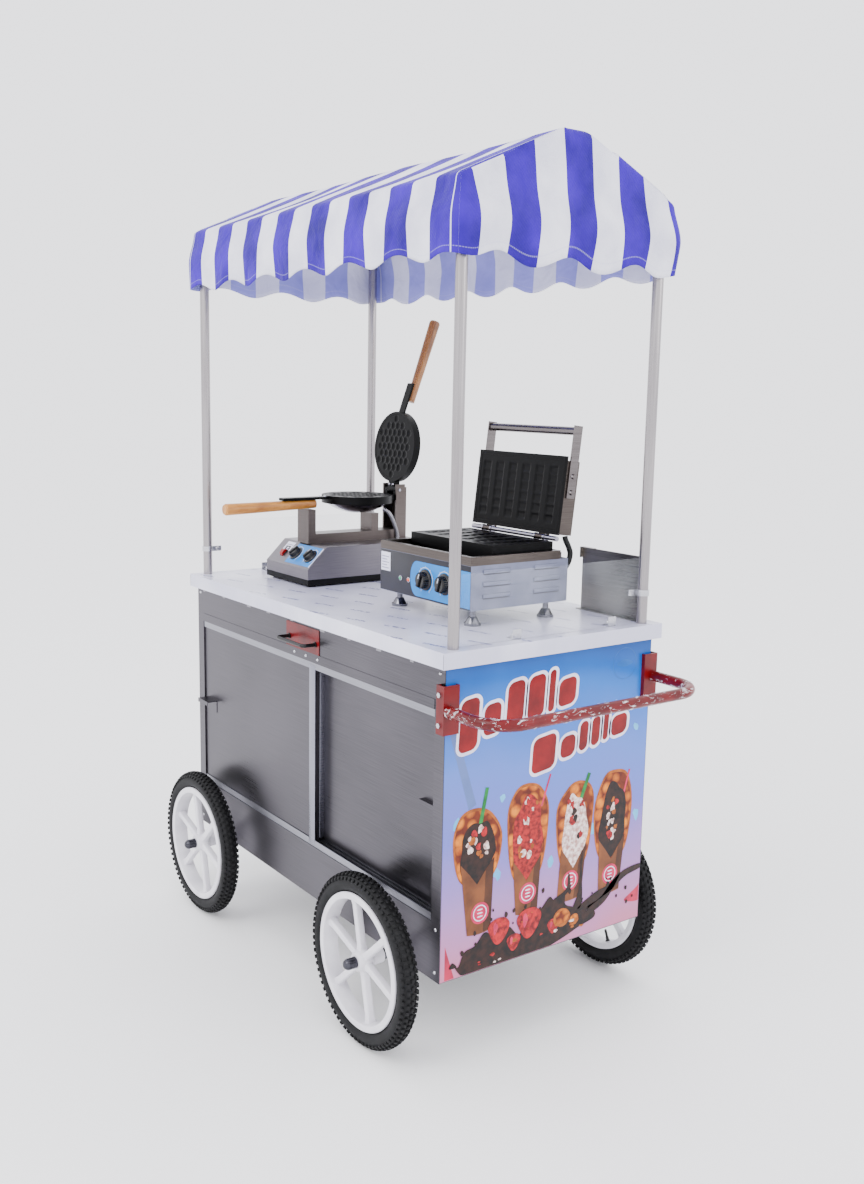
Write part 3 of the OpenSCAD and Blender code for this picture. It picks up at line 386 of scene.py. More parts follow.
# Dusty soft rubber, smooth satin nylon, and moulded black plastic with a fine spark grain
rubber = coated("black_tyre_rubber", "#161618", "#0A0A0B", 0.62, 25, 1.4, 0.2, specular_ior_level=0.2)
white_nylon = coated("white_moulded_nylon", "#E6E4EA", "#D3D0D8", 0.34, 55, 3.3, 0.08)
black_plastic = coated("black_moulded_plastic", "#1B1B1E", "#0E0E10", 0.38, 17, 1.7, 0.06,
                       specular_ior_level=0.3)

TYRE_HALF, BEAD_R, TYRE_MID = 0.0235, 0.1575, 0.1745
RIM_HALF, HOOP_INNER = 0.021, 0.1415
HUB_R, HUB_OUT, HUB_IN, BORE_R = 0.021, 0.021, 0.049, 0.00805
KNOB_H = 0.006

carcass_r = TYRE_HALF - 0.002
carcass = turned([(BEAD_R - 0.004, -0.013), *arc((TYRE_MID, 0), carcass_r, 215 - 360, 145, 36),
                  (BEAD_R - 0.004, 0.013), (BEAD_R - 0.004, -0.013)], 120)
# One knob serves as the pattern for all five rows
rows = []
for row, height in enumerate((-0.0175, -0.0092, 0, 0.0092, 0.0175)):
    knob = block((-0.0037, -0.0042, 0), (0.0037, 0.0042, KNOB_H + 0.0015), 0.001, 1)
    seat = carcass_r - 0.001
    angle = math.asin(max(-1, min(1, height / carcass_r)))
    knob.data.transform(
        moved(TYRE_MID + seat * math.cos(angle), 0, height)
        @ Matrix.Rotation(math.pi / 2 - angle, 4, "Y")
        @ Matrix.Scale(0.62 if abs(height) > 0.015 else 0.7, 4, (0, 0, 1)))
    rows.append(ring_of(knob, 76, math.pi / 76 if row % 2 else 0.0))
tyre_shape = joined(carcass, *rows)

hoop = turned([
    (HOOP_INNER, -RIM_HALF + 0.002), *arc((BEAD_R - 0.0035, -RIM_HALF + 0.0035), 0.0035, -90, 0, 5),
    (BEAD_R, -0.016), (BEAD_R - 0.0075, -0.013), (BEAD_R - 0.0075, 0.013), (BEAD_R, 0.016),
    *arc((BEAD_R - 0.0035, RIM_HALF - 0.0035), 0.0035, 0, 90, 5), (HOOP_INNER + 0.003, RIM_HALF),
    *arc((HOOP_INNER + 0.0025, RIM_HALF - 0.0025), 0.0025, 90, 180, 4),
    (HOOP_INNER - 0.002, 0), (HOOP_INNER, -RIM_HALF + 0.002)], 120)
hub = turned([
    (BORE_R, -HUB_IN), (0.0165, -HUB_IN), (0.018, -HUB_IN + 0.0015), (0.0185, -0.020), (0.0245, -0.012),
    (0.0265, -0.004), (0.0265, 0.005), (0.0225, 0.012), (HUB_R, HUB_OUT - 0.0015),
    (HUB_R - 0.0015, HUB_OUT), (BORE_R, HUB_OUT), (BORE_R, -HUB_IN)], 64)
spoke = block((0.020, -0.0085, -0.0095), (HOOP_INNER + 0.001, 0.0085, 0.0085))
bpy.context.view_layer.objects.active = spoke
bpy.ops.object.mode_set(mode="EDIT")
bpy.ops.mesh.select_all(action="SELECT")
bpy.ops.mesh.subdivide(number_cuts=6)
bpy.ops.object.mode_set(mode="OBJECT")
for v in spoke.data.vertices:
    along = (v.co.x - 0.020) / (HOOP_INNER - 0.019)
    flare = 1 + 0.30 * max(0, along - 0.86) / 0.14 + 0.25 * max(0, 0.12 - along) / 0.12
    round_off = 1 - 0.13 * (abs(v.co.y) / 0.0085) ** 2 * (abs(v.co.z) / 0.009) ** 2
    v.co.y *= flare * round_off
    v.co.z *= flare * round_off
modified(spoke, "BEVEL", width=0.0042, segments=3, limit_method="ANGLE", angle_limit=math.radians(50))
spokes = ring_of(spoke, 6, math.radians(43))
rim_shape = joined(hoop, hub, spokes)

valve_shape = joined(
    turned([(0, 0), (0.0042, 0), (0.0042, 0.010), (0.0034, 0.012), (0.0034, 0.026), (0.0028, 0.030),
            (0, 0.030)], 20),
    turned([(0, -0.001), (0.0065, -0.001), (0.006, 0.003), (0, 0.003)], 20))
valve_shape.data.transform(spun(68, "Z")
                           @ moved(HOOP_INNER - 0.001, 0, -0.004)
                           @ spun(-90, "Y"))

for corner in ("front_left", "front_right", "back_left", "back_right"):
    low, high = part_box("tyre_" + corner)
    centre = (low + high) / 2
    outward = -1 if corner.startswith("front") else 1
    stand_up = moved(*centre) @ spun(-90 * outward, "X")
    for shape, name, material, slot, replaced in (
            (tyre_shape, "knobbly_tyre_", rubber, "tyre_rubber", ("tyre_" + corner,)),
            (rim_shape, "spoked_rim_", white_nylon, "white_moulding", ("rim_" + corner,)),
            (valve_shape, "valve_", black_plastic, "tyre_rubber", ())):
        copy = new_piece(name, shape.data.copy())
        copy.data.transform(stand_up)
        finished(copy, name + corner, material, "wheel_" + corner, slot, *replaced, smooth=35)
for shape in (tyre_shape, rim_shape, valve_shape):
    bpy.data.objects.remove(shape)

cap_steel = brushed_metal("blackened_steel_cap", "#4A4A50", "#2E2E33", 0.24, 0.6)
show_as(cap_steel, "axle_caps", "axle_sleeves")
show_as(zinc, "wheel_axles")

# ---- Canopy cloth ----
# One sewn cover of striped polyester: a roof over the ridge tube, and four walls whose wavy
# hem hangs free below the rails. Stripes run down the slope and on down the walls.
EAVE_X, EAVE_Y, EAVE_Z, RIDGE_Z, HEM_Z = 0.604, 0.2975, 1.885, 2.003, 1.720
cloth_low, cloth_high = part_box("canopy_cloth")
CLOTH_X = (cloth_low.x + cloth_high.x) / 2
COLUMNS_X, COLUMNS_Y, ROWS = 76, 38, 11


def roof_height(y):
    """The roof lies flat over the broad ridge, then slopes to the eave."""
    return EAVE_Z + (RIDGE_Z - EAVE_Z) * min(1.0, (EAVE_Y - abs(y)) / (EAVE_Y - 0.036))


def wall_point(x, y, down):
    """A point of the wall under the eave point (x, y); down goes from 0 at the top to 1 at the hem."""
    along = x if abs(y) >= EAVE_Y - 1e-6 else y
    phase = 0.7 if abs(y) >= EAVE_Y - 1e-6 else 2.1
    end_wall = abs(x) >= EAVE_X - 1e-6
    top = roof_height(y)
    height = 0.01375 if end_wall and x > 0 else 0.011
    scallop = height * math.sin(2 * math.pi * along / 0.19 + phase)
    corner = min(1.0, (EAVE_X - abs(x) + EAVE_Y - abs(y)) / 0.06)
    hem = HEM_Z + 0.013 + scallop * corner
    z = top + (hem - top) * down
    # The cloth stands out over the rail, then turns under it and hangs free in waves
    over = min(1.0, max(0.0, (EAVE_Z - z) / 0.085))
    free = max(0.0, (1.800 - z) / 0.08)
    swell = 0.015 * over * over * (3 - 2 * over) - free * (0.009 if end_wall else 0.003)
    swell += free * 0.0055 * math.sin(2 * math.pi * along / 0.19 + phase + 1.3)
    swell += 0.0042 * noise.noise(Vector((x * 8, y * 8, z * 4.5))) * min(1.0, down * 4)
    out = Vector((1.0 if end_wall and x > 0 else -1.0 if end_wall else 0.0,
                  1.0 if y >= EAVE_Y - 1e-6 else -1.0 if y <= -EAVE_Y + 1e-6 else 0.0))
    return Vector((CLOTH_X + x + out.x * swell, y + out.y * swell, z))


def roof_point(x, y):
    """A point of the roof, which sags a little between its rafters and puckers at the eave."""
    z = roof_height(y)
    bay = math.sin(math.pi * (x + EAVE_X) / (EAVE_X)) ** 2
    slope = math.sin(math.pi * abs(y) / EAVE_Y)
    z -= 0.007 * bay * slope
    z += 0.0035 * noise.noise(Vector((x * 7, y * 5, 3.3))) * slope
    z += 0.0018 * noise.noise(Vector((x * 26, y * 6, 9.1))) * (abs(y) / EAVE_Y) ** 2 * slope
    return Vector((CLOTH_X + x, y, z))


cover = bmesh.new()
stripes = cover.loops.layers.uv.new("stripes")


def lay(rows, marks):
    """Makes faces between rows of points; marks gives each point's place in the stripes."""
    knots = [[cover.verts.new(p) for p in row] for row in rows]
    for i in range(len(rows) - 1):
        for j in range(len(rows[i]) - 1):
            corners = ((i, j), (i, j + 1), (i + 1, j + 1), (i + 1, j))
            face = cover.faces.new([knots[a][b] for a, b in corners])
            for loop, (a, b) in zip(face.loops, corners):
                loop[stripes].uv = marks[a][b]


xs = [-EAVE_X + 2 * EAVE_X * k / COLUMNS_X for k in range(COLUMNS_X + 1)]
ys = [-EAVE_Y + 2 * EAVE_Y * k / COLUMNS_Y for k in range(COLUMNS_Y + 1)]
BREADTH_LONG, BREADTH_END = 0.08053, 0.0773
lay([[roof_point(x, y) for x in xs] for y in ys],
    [[((x + EAVE_X) / BREADTH_LONG, 1 + abs(y)) for x in xs] for y in ys])
downs = [k / ROWS for k in range(ROWS + 1)]
for y in (-EAVE_Y, EAVE_Y):
    lay([[wall_point(x, y, d) for x in xs] for d in downs],
        [[((x + EAVE_X) / BREADTH_LONG, (1 - d) * 0.165) for x in xs] for d in downs])
for x in (-EAVE_X, EAVE_X):
    lay([[wall_point(x, y, d) for y in ys] for d in downs],
        [[((y + 0.2705 - 0.014 * math.sin(2.2 * d)) / BREADTH_END + 1, (1 - d) * 0.165) for y in ys]
         for d in downs])
bmesh.ops.remove_doubles(cover, verts=cover.verts, dist=0.0004)
bmesh.ops.recalc_face_normals(cover, faces=cover.faces)
if sum(f.normal.z for f in cover.faces if f.calc_center_median().z > 1.9) < 0:
    bmesh.ops.reverse_faces(cover, faces=cover.faces)
cloth_area = sum(f.calc_area() for f in cover.faces)
canopy = new_piece("canopy_cover", cover)


def striped_cloth(name, blue, deep_blue, white, grey, roughness):
    """Plain-woven polyester, dyed in stripes, with a stitched hem and a slight sheen."""
    cloth, shader = new_material(name, white, roughness, sheen_weight=0.06, sheen_roughness=0.5,
                                 specular_ior_level=0.15)
    coordinates = add_node(cloth, "TexCoord")
    place = coordinates.outputs["Object"]
    parts = add_node(cloth, "SeparateXYZ", {"Vector": coordinates.outputs["UV"]})
    half = add_node(cloth, "Math", {0: parts.outputs["X"], 1: 0.5}, operation="MULTIPLY")
    phase = add_node(cloth, "Math", {0: half}, operation="FRACT")
    is_blue = add_node(cloth, "Math", {0: phase, 1: 0.5}, operation="LESS_THAN")
    clouds = add_node(cloth, "TexNoise", {"Vector": place, "Scale": 11.0, "Detail": 4.0})
    blues = add_node(cloth, "ValToRGB", {"Fac": clouds}, stops=((0.3, deep_blue), (0.68, blue)))
    whites = add_node(cloth, "ValToRGB", {"Fac": clouds}, stops=((0.3, grey), (0.68, white)))
    dyed = add_node(cloth, "MixRGB", {"Fac": is_blue, "Color1": whites,
                                      "Color2": blues})
    # The hem is turned up 14 mm and held by one line of 5 mm stitches
    over = add_node(cloth, "Math", {0: parts.outputs["Y"], 1: 0.014}, operation="SUBTRACT")
    away = add_node(cloth, "Math", {0: over}, operation="ABSOLUTE")
    on_line = add_node(cloth, "Math", {0: away, 1: 0.0011}, operation="LESS_THAN")
    beat = add_node(cloth, "Math", {0: parts.outputs["X"], 1: 16.0}, operation="MULTIPLY")
    gaps = add_node(cloth, "Math", {0: beat}, operation="FRACT")
    thread = add_node(cloth, "Math", {0: gaps, 1: 0.7}, operation="LESS_THAN")
    stitch = add_node(cloth, "Math", {0: on_line, 1: thread}, operation="MULTIPLY")
    faint = add_node(cloth, "Math", {0: stitch, 1: 0.3}, operation="MULTIPLY")
    sewn = add_node(cloth, "MixRGB", {"Fac": faint, "Color1": dyed,
                                      "Color2": linear("#B9B9DC")})
    # The long walls end 12 mm short of the corners, in a seam with one pale line of stitching
    inward = add_node(cloth, "Math", {0: parts.outputs["X"], 1: 7.5}, operation="SUBTRACT")
    out = add_node(cloth, "Math", {0: inward}, operation="ABSOLUTE")
    by_seam = add_node(cloth, "Math", {0: out, 1: 7.33, 2: 0.016}, operation="COMPARE")
    seamed = add_node(cloth, "MixRGB", {"Fac": by_seam, "Color1": sewn,
                                        "Color2": linear("#C9C9E6")})
    # Threads are 0.5 mm; they are drawn at 2 mm so that they show
    weave = add_node(cloth, "TexWave", {"Vector": place, "Scale": 80.0, "Distortion": 0.6},
                     bands_direction="DIAGONAL")
    folds = add_node(cloth, "TexNoise", {"Vector": place, "Scale": 17.0, "Detail": 5.0,
                                         "Distortion": 0.4})
    creases = add_node(cloth, "Bump", {"Height": folds, "Distance": 0.010, "Strength": 0.9})
    relief = add_node(cloth, "Bump", {"Height": weave.outputs["Fac"], "Distance": 0.0002,
                                      "Strength": 1.0,
                                      "Normal": creases})
    feed(shader, {"Base Color": seamed, "Normal": relief})
    return cloth


striped = striped_cloth("striped_polyester_canvas", "#3A00AA", "#200074", "#E6E6F2", "#C9C9DC", 0.72)
# The inner side is paler: partly the print's paler back, partly painted light shining through the cloth.
pale_back_painted_glow = striped_cloth("striped_polyester_canvas_back", "#8F8FD8", "#7E7EC8", "#D2D2E8", "#C2C2DC", 0.8)
canopy.data.materials.append(striped)
canopy.data.materials.append(pale_back_painted_glow)
modified(canopy, "SUBSURF", levels=1, render_levels=1)
modified(canopy, "SOLIDIFY", thickness=1.2 * MM, offset=-1.0, material_offset=1, material_offset_rim=0)
finished(canopy, "striped_canopy_cover", None, "cart", "canopy_fabric", "canopy_cloth", smooth=180)
satin_tube = brushed_metal("satin_stainless_tube", "#A8A3A4", "#918C8E", 0.28, 0.9, upright=True)
show_as(satin_tube, "canopy_posts", "canopy_frame")

# ---- Printed end panel ----
# A glossy printed film on the right end: a blue to pink sky, a headline, four waffle cones in
# paper cups, fruit and a chocolate splash. All of its shapes are plain ones made for this model.
print_low, print_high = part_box("end_graphic")
PRINT_X = print_high.x
LAYER = 0.07 * MM
chances = random.Random(11)
film_parts = []


def add_print(outline, material, layer):
    """Inks one shape on the film, from its outline of (y, z) in mm, cut off at the film's edge."""
    outline = [(max(-298.5, min(298.5, y)), max(215.5, z)) for y, z in outline]
    sheet = bmesh.new()
    x = PRINT_X + layer * LAYER
    face = sheet.faces.new([sheet.verts.new((x, y * MM, z * MM)) for y, z in outline])
    sheet.normal_update()
    if face.normal.x < 0:
        face.normal_flip()
    bmesh.ops.triangulate(sheet, faces=sheet.faces)
    shape = new_piece("film_shape", sheet)
    shape.data.materials.append(material)
    film_parts.append(shape)


def smooth_point(a, b, c, d, t):
    """A point between b and c, t of the way along the smooth curve through a, b, c and d."""
    return 0.5 * ((2 * b) + (c - a) * t + (2 * a - 5 * b + 4 * c - d) * t * t
                  + (3 * b - a - 3 * c + d) * t ** 3)


def rounded(points, steps=7):
    """A smooth closed outline through a few points."""
    made, n = [], len(points)
    for k in range(n):
        around = [Vector(points[(k + j) % n]) for j in range(-1, 3)]
        made += [tuple(smooth_point(*around, s / steps)) for s in range(steps)]
    return made


def disc(centre, radius, wobble=0.0, squash=1.0, points=28):
    """A round outline, uneven by this share of its radius."""
    made = []
    for k in range(points):
        a = 2 * math.pi * k / points
        r = radius * (1 + wobble * chances.uniform(-1, 1))
        made.append((centre[0] + r * math.cos(a), centre[1] + r * squash * math.sin(a)))
    return made


def ink(name, light, dark, cloud, bubble=0.0, roughness=0.28):
    """A printed tone with soft clouds of this size in mm, and round cells where bubble is their size."""
    tone, shader = new_material(name, light, roughness, specular_ior_level=0.25)
    place = add_node(tone, "TexCoord").outputs["Object"]
    clouds = add_node(tone, "TexNoise", {"Vector": place, "Scale": 1 / (cloud * MM), "Detail": 5.0})
    colour = add_node(tone, "ValToRGB", {"Fac": clouds}, stops=((0.36, dark), (0.62, light)))
    result = colour
    if bubble:
        cells = add_node(tone, "TexVoronoi", {"Vector": place, "Scale": 1 / (bubble * MM),
                                              "Randomness": 0.55})
        shade = add_node(tone, "ValToRGB", {"Fac": cells},
                         stops=((0.0, "#FFF6D8"), (0.36, "#F2DDB0"), (0.6, "#7A4A22")))
        result = add_node(tone, "MixRGB", {"Fac": 1.0, "Color1": result, "Color2": shade},
                          blend_type="MULTIPLY")
    feed(shader, {"Base Color": result})
    return tone


# The sky fades from a clear blue at the top through violet to a dusty pink, with pale clouds
sky, shader = new_material("printed_film_sky", "#8FA5DA", 0.24, specular_ior_level=0.25)
place = add_node(sky, "TexCoord").outputs["Object"]
parts = add_node(sky, "SeparateXYZ", {"Vector": place})
height = add_node(sky, "MapRange", {"Value": parts.outputs["Z"], "From Min": print_low.z,
                                    "From Max": print_high.z})
clouds = add_node(sky, "TexNoise", {"Vector": place, "Scale": 4.0, "Detail": 3.0})
lift = add_node(sky, "Math", {0: clouds, 1: 0.22, 2: -0.11}, operation="MULTIPLY_ADD")
level = add_node(sky, "Math", {0: height, 1: lift}, operation="ADD")
blend_tone = add_node(sky, "ValToRGB", {"Fac": level}, stops=(
    (0.0, "#B8708E"), (0.2, "#9E76B0"), (0.42, "#686CC2"), (0.66, "#5676CA"), (0.86, "#1C68C0"),
    (1.0, "#084A98")))
feed(shader, {"Base Color": blend_tone})
show_as(sky, "end_graphic")

chocolate = ink("printed_chocolate", "#2A140D", "#0C0504", 16)
paper_brown = ink("printed_paper_cup", "#7A4420", "#532C14", 60)
paper_shade = ink("printed_paper_cup_shade", "#4E2A15", "#33190C", 60)
batter = ink("printed_golden_waffle", "#E08A10", "#A85006", 26, 29)
batter_rim = ink("printed_waffle_rim", "#A85A16", "#7C3C0C", 20)
cream = ink("printed_cream", "#EADBD6", "#A87C74", 9)
sauce = ink("printed_red_sauce", "#A81A1C", "#5E0A0C", 9)
leaf = ink("printed_green", "#128036", "#0A5A22", 25)
magenta = ink("printed_pink", "#C81E50", "#9C1440", 25)
berry = ink("printed_strawberry", "#B8141E", "#5C0810", 14)
headline_red = ink("printed_headline_red", "#84060F", "#60040A", 55)
headline_white = ink("printed_headline_white", "#E4E0EE", "#D2CEE4", 40)
pale_cyan = ink("printed_pale_cyan", "#5FB4E0", "#4AA0D4", 60)
corner_pink = ink("printed_corner_pink", "#B82448", "#901838", 50)
emblem_blue = ink("printed_emblem_blue", "#1C5CA6", "#184E92", 30)
slate_blue = ink("printed_slate_blue", "#5A6FA8", "#4E6298", 70)

# Soft pieces of sky: a slanted band, two corner flashes and some pale flecks
add_print([(-288, 770), (-268, 770), (-212, 600), (-232, 590)], slate_blue, 1)
add_print([(-288, 295), (-288, 205), (-262, 214)], corner_pink, 1)
add_print(rounded([(313, 352), (300, 300), (250, 268), (313, 262)]), corner_pink, 1)
for y, z, r in ((-262, 560, 11), (-150, 430, 10), (-140, 600, 8), (8, 420, 9), (132, 470, 10),
                (276, 480, 9), (262, 700, 7), (-20, 690, 8)):
    add_print(disc((y, z), r, 0.35, 1.5, 9), pale_cyan, 1)

# The headline: two rising rows of plain rounded bars in red, outlined in white
def bar(y, low, high, half, grow=0.0):
    """An upright bar with round ends, leaning a little, as (y, z) points in mm."""
    half, low, high = half + grow, low - grow, high + grow
    turn_r = min(half, 16 + grow)
    made = []
    for cy, cz, start in ((half - turn_r, high - turn_r, 0), (turn_r - half, high - turn_r, 90),
                          (turn_r - half, low + turn_r, 180), (half - turn_r, low + turn_r, 270)):
        for k in range(7):
            a = math.radians(start + 15 * k)
            dy, z = cy + turn_r * math.cos(a), cz + turn_r * math.sin(a)
            made.append((y + dy + 0.06 * (z - low), z + 0.14 * dy))
    return made


# Each bar: its middle, its foot, its top and its half width
bars = ((-240, 722, 836, 25), (-176, 750, 818, 23), (-113, 762, 858, 24), (-54, 768, 864, 24),
        (-9, 776, 870, 9), (38, 784, 846, 26), (-26, 642, 722, 34), (46, 662, 712, 22),
        (93, 670, 738, 13),
        (130, 676, 744, 13), (162, 684, 750, 8), (205, 690, 738, 25))
for y, low, high, half in bars:
    add_print(bar(y, low, high, half, 7.5), headline_white, 2)
for y, low, high, half in bars:
    add_print(bar(y, low, high, half), headline_red, 3)
# A ring emblem stands at the top corner, with one small dot inside
outer, inner = disc((216, 858), 38, points=48), disc((216, 858), 36, points=48)
for k in range(48):
    j = (k + 1) % 48
    add_print([outer[k], outer[j], inner[j], inner[k]], emblem_blue, 1)
add_print(rounded([(190, 858), (216, 868), (242, 858), (216, 850)]), emblem_blue, 1)

# Each cup: its bottom centre, the waffle's top, the half widths, and what fills it
cups = (
    ((-197, 305), 33, (-213, 592), 68, 528, 457, chocolate, leaf, ((-183, 633), (-202, 540))),
    ((-61, 318), 32, (-66, 621), 61, 555, 433, sauce, magenta, ((-2, 631), (-26, 560))),
    ((68, 317), 38, (87, 599), 58, 540, 430, cream, leaf, ((118, 612), (84, 531))),
    ((195, 304), 34, (203, 605), 62, 520, 425, chocolate, magenta, ((248, 598), (227, 525))))
for ((foot_y, foot_z), foot, (tip_y, tip_z), wide, side_z, lip_z, filling, straw,
     (straw_top, straw_foot)) in cups:
    middle = (foot_y + tip_y) / 2
    # The rolled waffle stands behind its filling, in a paper cone
    for tone, layer, base, side, tip, shoulder, right in ((batter_rim, 6, 0.62, 1, 0, 14, 0.66),
                                                          (batter, 7, 0.58, 0.93, 7, 20, 0.6)):
        add_print(rounded([
            (middle - wide * base, lip_z - 30), (middle - wide * side, side_z - 10),
            (tip_y - wide * base, tip_z - shoulder), (tip_y, tip_z - tip),
            (tip_y + wide * right, tip_z - shoulder - 4), (middle + wide * side, side_z - 14),
            (middle + wide * base, lip_z - 30)]), tone, layer)
    low_end, high_end = Vector(straw_foot), Vector(straw_top)
    along = high_end - low_end
    across = Vector((along.y, -along.x)).normalized() * (5 if straw is leaf else 2.5)
    add_print([tuple(end) for end in (low_end - across, low_end + across, high_end + across,
                                      high_end - across)], straw, 8)
    reach = (tip_z - 34 - (lip_z - 44)) / 2
    top_half = wide * 0.68
    heap = disc((middle + 1, lip_z - 44 + reach), top_half, 0.13, reach / wide / 0.68, 17)
    add_print(rounded(heap, 4), filling, 9)
    dabs = (sauce, chocolate, berry, cream) if filling is cream else (cream, cream, batter_rim, berry)
    for k in range(16):
        dab = (middle + chances.uniform(-0.4, 0.4) * wide,
               lip_z + chances.uniform(0.1, 1.2) * (side_z - lip_z))
        add_print(rounded(disc(dab, chances.uniform(3.5, 8.5), 0.4, 1.2, 8), 3), dabs[k % 4],
                  10 + 0.15 * k)
    add_print(rounded([(foot_y - foot, foot_z), (foot_y, foot_z - 5), (foot_y + foot, foot_z)], 5)[:10]
              + [(middle + top_half, lip_z + 14), (middle + top_half * 0.45, lip_z - 14),
                 (middle, lip_z - 40), (middle - top_half * 0.45, lip_z - 14),
                 (middle - top_half, lip_z + 14)], paper_brown, 13)
    add_print([(foot_y + foot * 0.35, foot_z - 2), (foot_y + foot, foot_z + 1),
               (middle + top_half, lip_z + 14), (middle + top_half * 0.5, lip_z - 12)], paper_shade, 14)
    # A plain round seal: rings with three bars
    seal = (foot_y + 2, foot_z + 44)
    for radius, points, tone, layer in ((25, 30, magenta, 15), (19, 26, headline_white, 16),
                                        (16.5, 26, magenta, 17)):
        add_print(disc(seal, radius, points=points), tone, layer)
    for rise in (8, 0, -8):
        add_print(disc((seal[0], seal[1] + rise), 8, squash=0.22, points=12), headline_white, 18)

# Chocolate splashes up from the bottom edge, round strawberries and round waffle pieces
add_print(rounded([(-268, 250), (-252, 238), (-236, 268), (-206, 276), (-180, 300), (-150, 284),
                   (-112, 296), (-80, 268), (-50, 306), (-20, 312), (8, 336), (26, 322), (54, 334),
                   (58, 306), (86, 292),
                   (116, 276), (150, 268), (150, 250), (100, 238), (60, 226), (10, 214), (-60, 196),
                   (-150, 196), (-230, 206)]), chocolate, 19)
for arm in ([(82, 290), (94, 318), (100, 352), (99, 392), (103, 424), (109, 420), (106, 388), (108, 350),
             (110, 312), (104, 286)],
            [(20, 326), (58, 344), (62, 376), (68, 376), (70, 342), (44, 322)],
            [(96, 286), (150, 312), (196, 322), (242, 346), (298, 352), (298, 340), (250, 330),
             (205, 306), (150, 286), (110, 270)],
            [(128, 282), (170, 296), (214, 336), (232, 340), (190, 286), (140, 264)],
            [(-268, 252), (-276, 240), (-256, 240)]):
    add_print(rounded(arm), chocolate, 19.5)
for k in range(34):
    drop = (chances.uniform(-270, 280), 262 + chances.uniform(0, 95))
    add_print(disc(drop, chances.uniform(1.6, 5.5), 0.2, 1.3, 9), chocolate, 20)
for y, z, r in ((-140, 292, 31), (-52, 288, 36), (-96, 254, 20), (22, 262, 18)):
    for body, tone, layer in (
            (((-1, 0.35), (-0.5, 0.95), (0.5, 0.95), (1, 0.3), (0.4, -0.75), (-0.3, -0.9)), berry, 21),
            (((-0.5, 0.5), (-0.3, 0.75), (-0.1, 0.3), (-0.4, -0.2)), magenta, 21.5)):
        add_print(rounded([(y + across * r, z + up * r) for across, up in body]), tone, layer)
    for k in range(9):
        seed = (y + chances.uniform(-0.6, 0.6) * r, z + chances.uniform(-0.4, 0.7) * r)
        add_print(disc(seed, 1.3, points=7), batter, 22)
for (y, z), r in (((48, 276), 25), ((86, 262), 15)):
    add_print(disc((y, z), r, 0.06, 0.9, 18), batter_rim, 22)
    add_print(disc((y, z + 2), r * 0.8, 0.1, 0.8, 16), batter, 23)
for k in range(12):
    crumb = (chances.uniform(-210, 120), chances.uniform(222, 262))
    add_print(rounded(disc(crumb, chances.uniform(3, 8), 0.3, 0.5, 8), 3),
              (cream, batter_rim, sauce)[k % 3], 24)
finished(joined(*film_parts), "printed_end_picture", None, "cart", "printed_film", smooth=0)

# ---- Push handle ----
# One bent tube in red enamel, still wound in the clear film it was delivered in. The film is
# slack and wrinkled; its white glints over the red are painted, as near-opaque white film.
HANDLE_LOW, HANDLE_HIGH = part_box("push_handle")
BEND_R, FILM_R = 0.075, 0.0131
handle_z = (HANDLE_LOW.z + HANDLE_HIGH.z) / 2
arm_y, bar_x = HANDLE_HIGH.y - 0.0125, HANDLE_HIGH.x - 0.0125
arm_x = HANDLE_LOW.x + 0.004
route = [(arm_x + (bar_x - BEND_R - arm_x) * k / 8, -arm_y) for k in range(8)]
route += [(bar_x - BEND_R + BEND_R * math.cos(a), -arm_y + BEND_R + BEND_R * math.sin(a))
          for a in (math.radians(-90 + 90 * k / 12) for k in range(12))]
route += [(bar_x, -arm_y + BEND_R + (arm_y - BEND_R) * k / 22) for k in range(22)]
route += [(x, -y) for x, y in reversed(route)]
shell = bmesh.new()
last_ring = None
for k, (x, y) in enumerate(route):
    ahead = Vector((*route[min(k + 1, len(route) - 1)], 0)) - Vector((*route[max(k - 1, 0)], 0))
    side = Vector((ahead.y, -ahead.x, 0)).normalized()
    ring = []
    for j in range(20):
        a = 2 * math.pi * j / 20
        crease = noise.noise(Vector((k * 0.9, j * 0.55 if j < 10 else (20 - j) * 0.55, 4.0)))
        r = FILM_R + 0.0008 + 0.0009 * crease
        ring.append(shell.verts.new(Vector((x, y, handle_z)) + side * math.cos(a) * r
                                    + Vector((0, 0, 1)) * math.sin(a) * r))
    if last_ring:
        for j in range(20):
            shell.faces.new((last_ring[j], last_ring[(j + 1) % 20], ring[(j + 1) % 20], ring[j]))
    last_ring = ring
bmesh.ops.recalc_face_normals(shell, faces=shell.faces)
handle_film = new_piece("film", shell)
wrap, shader = new_material("slack_clear_film_painted_glints", "#F0ECF2", 0.14, ior=1.5)
place = add_node(wrap, "TexCoord").outputs["Object"]
turned_place = add_node(wrap, "Mapping", {"Vector": place, "Scale": (60, 38, 95),
                                          "Rotation": (0.5, 0.3, 0.4)})
wrinkles = add_node(wrap, "TexNoise", {"Vector": turned_place, "Scale": 1.0, "Detail": 5.0,
                                       "Distortion": 1.4})
# White, near-opaque film where the wrinkle noise peaks: painted glints.
painted_glints = add_node(wrap, "MapRange", {"Value": wrinkles, "From Min": 0.57, "From Max": 0.7,
                                     "To Min": 0.0, "To Max": 0.8})
relief = add_node(wrap, "Bump", {"Height": wrinkles, "Distance": 0.003, "Strength": 1.0})
feed(shader, {"Alpha": painted_glints, "Normal": relief})
finished(handle_film, "handle_film_wrap", wrap, "cart", "clear_acrylic", smooth=80)

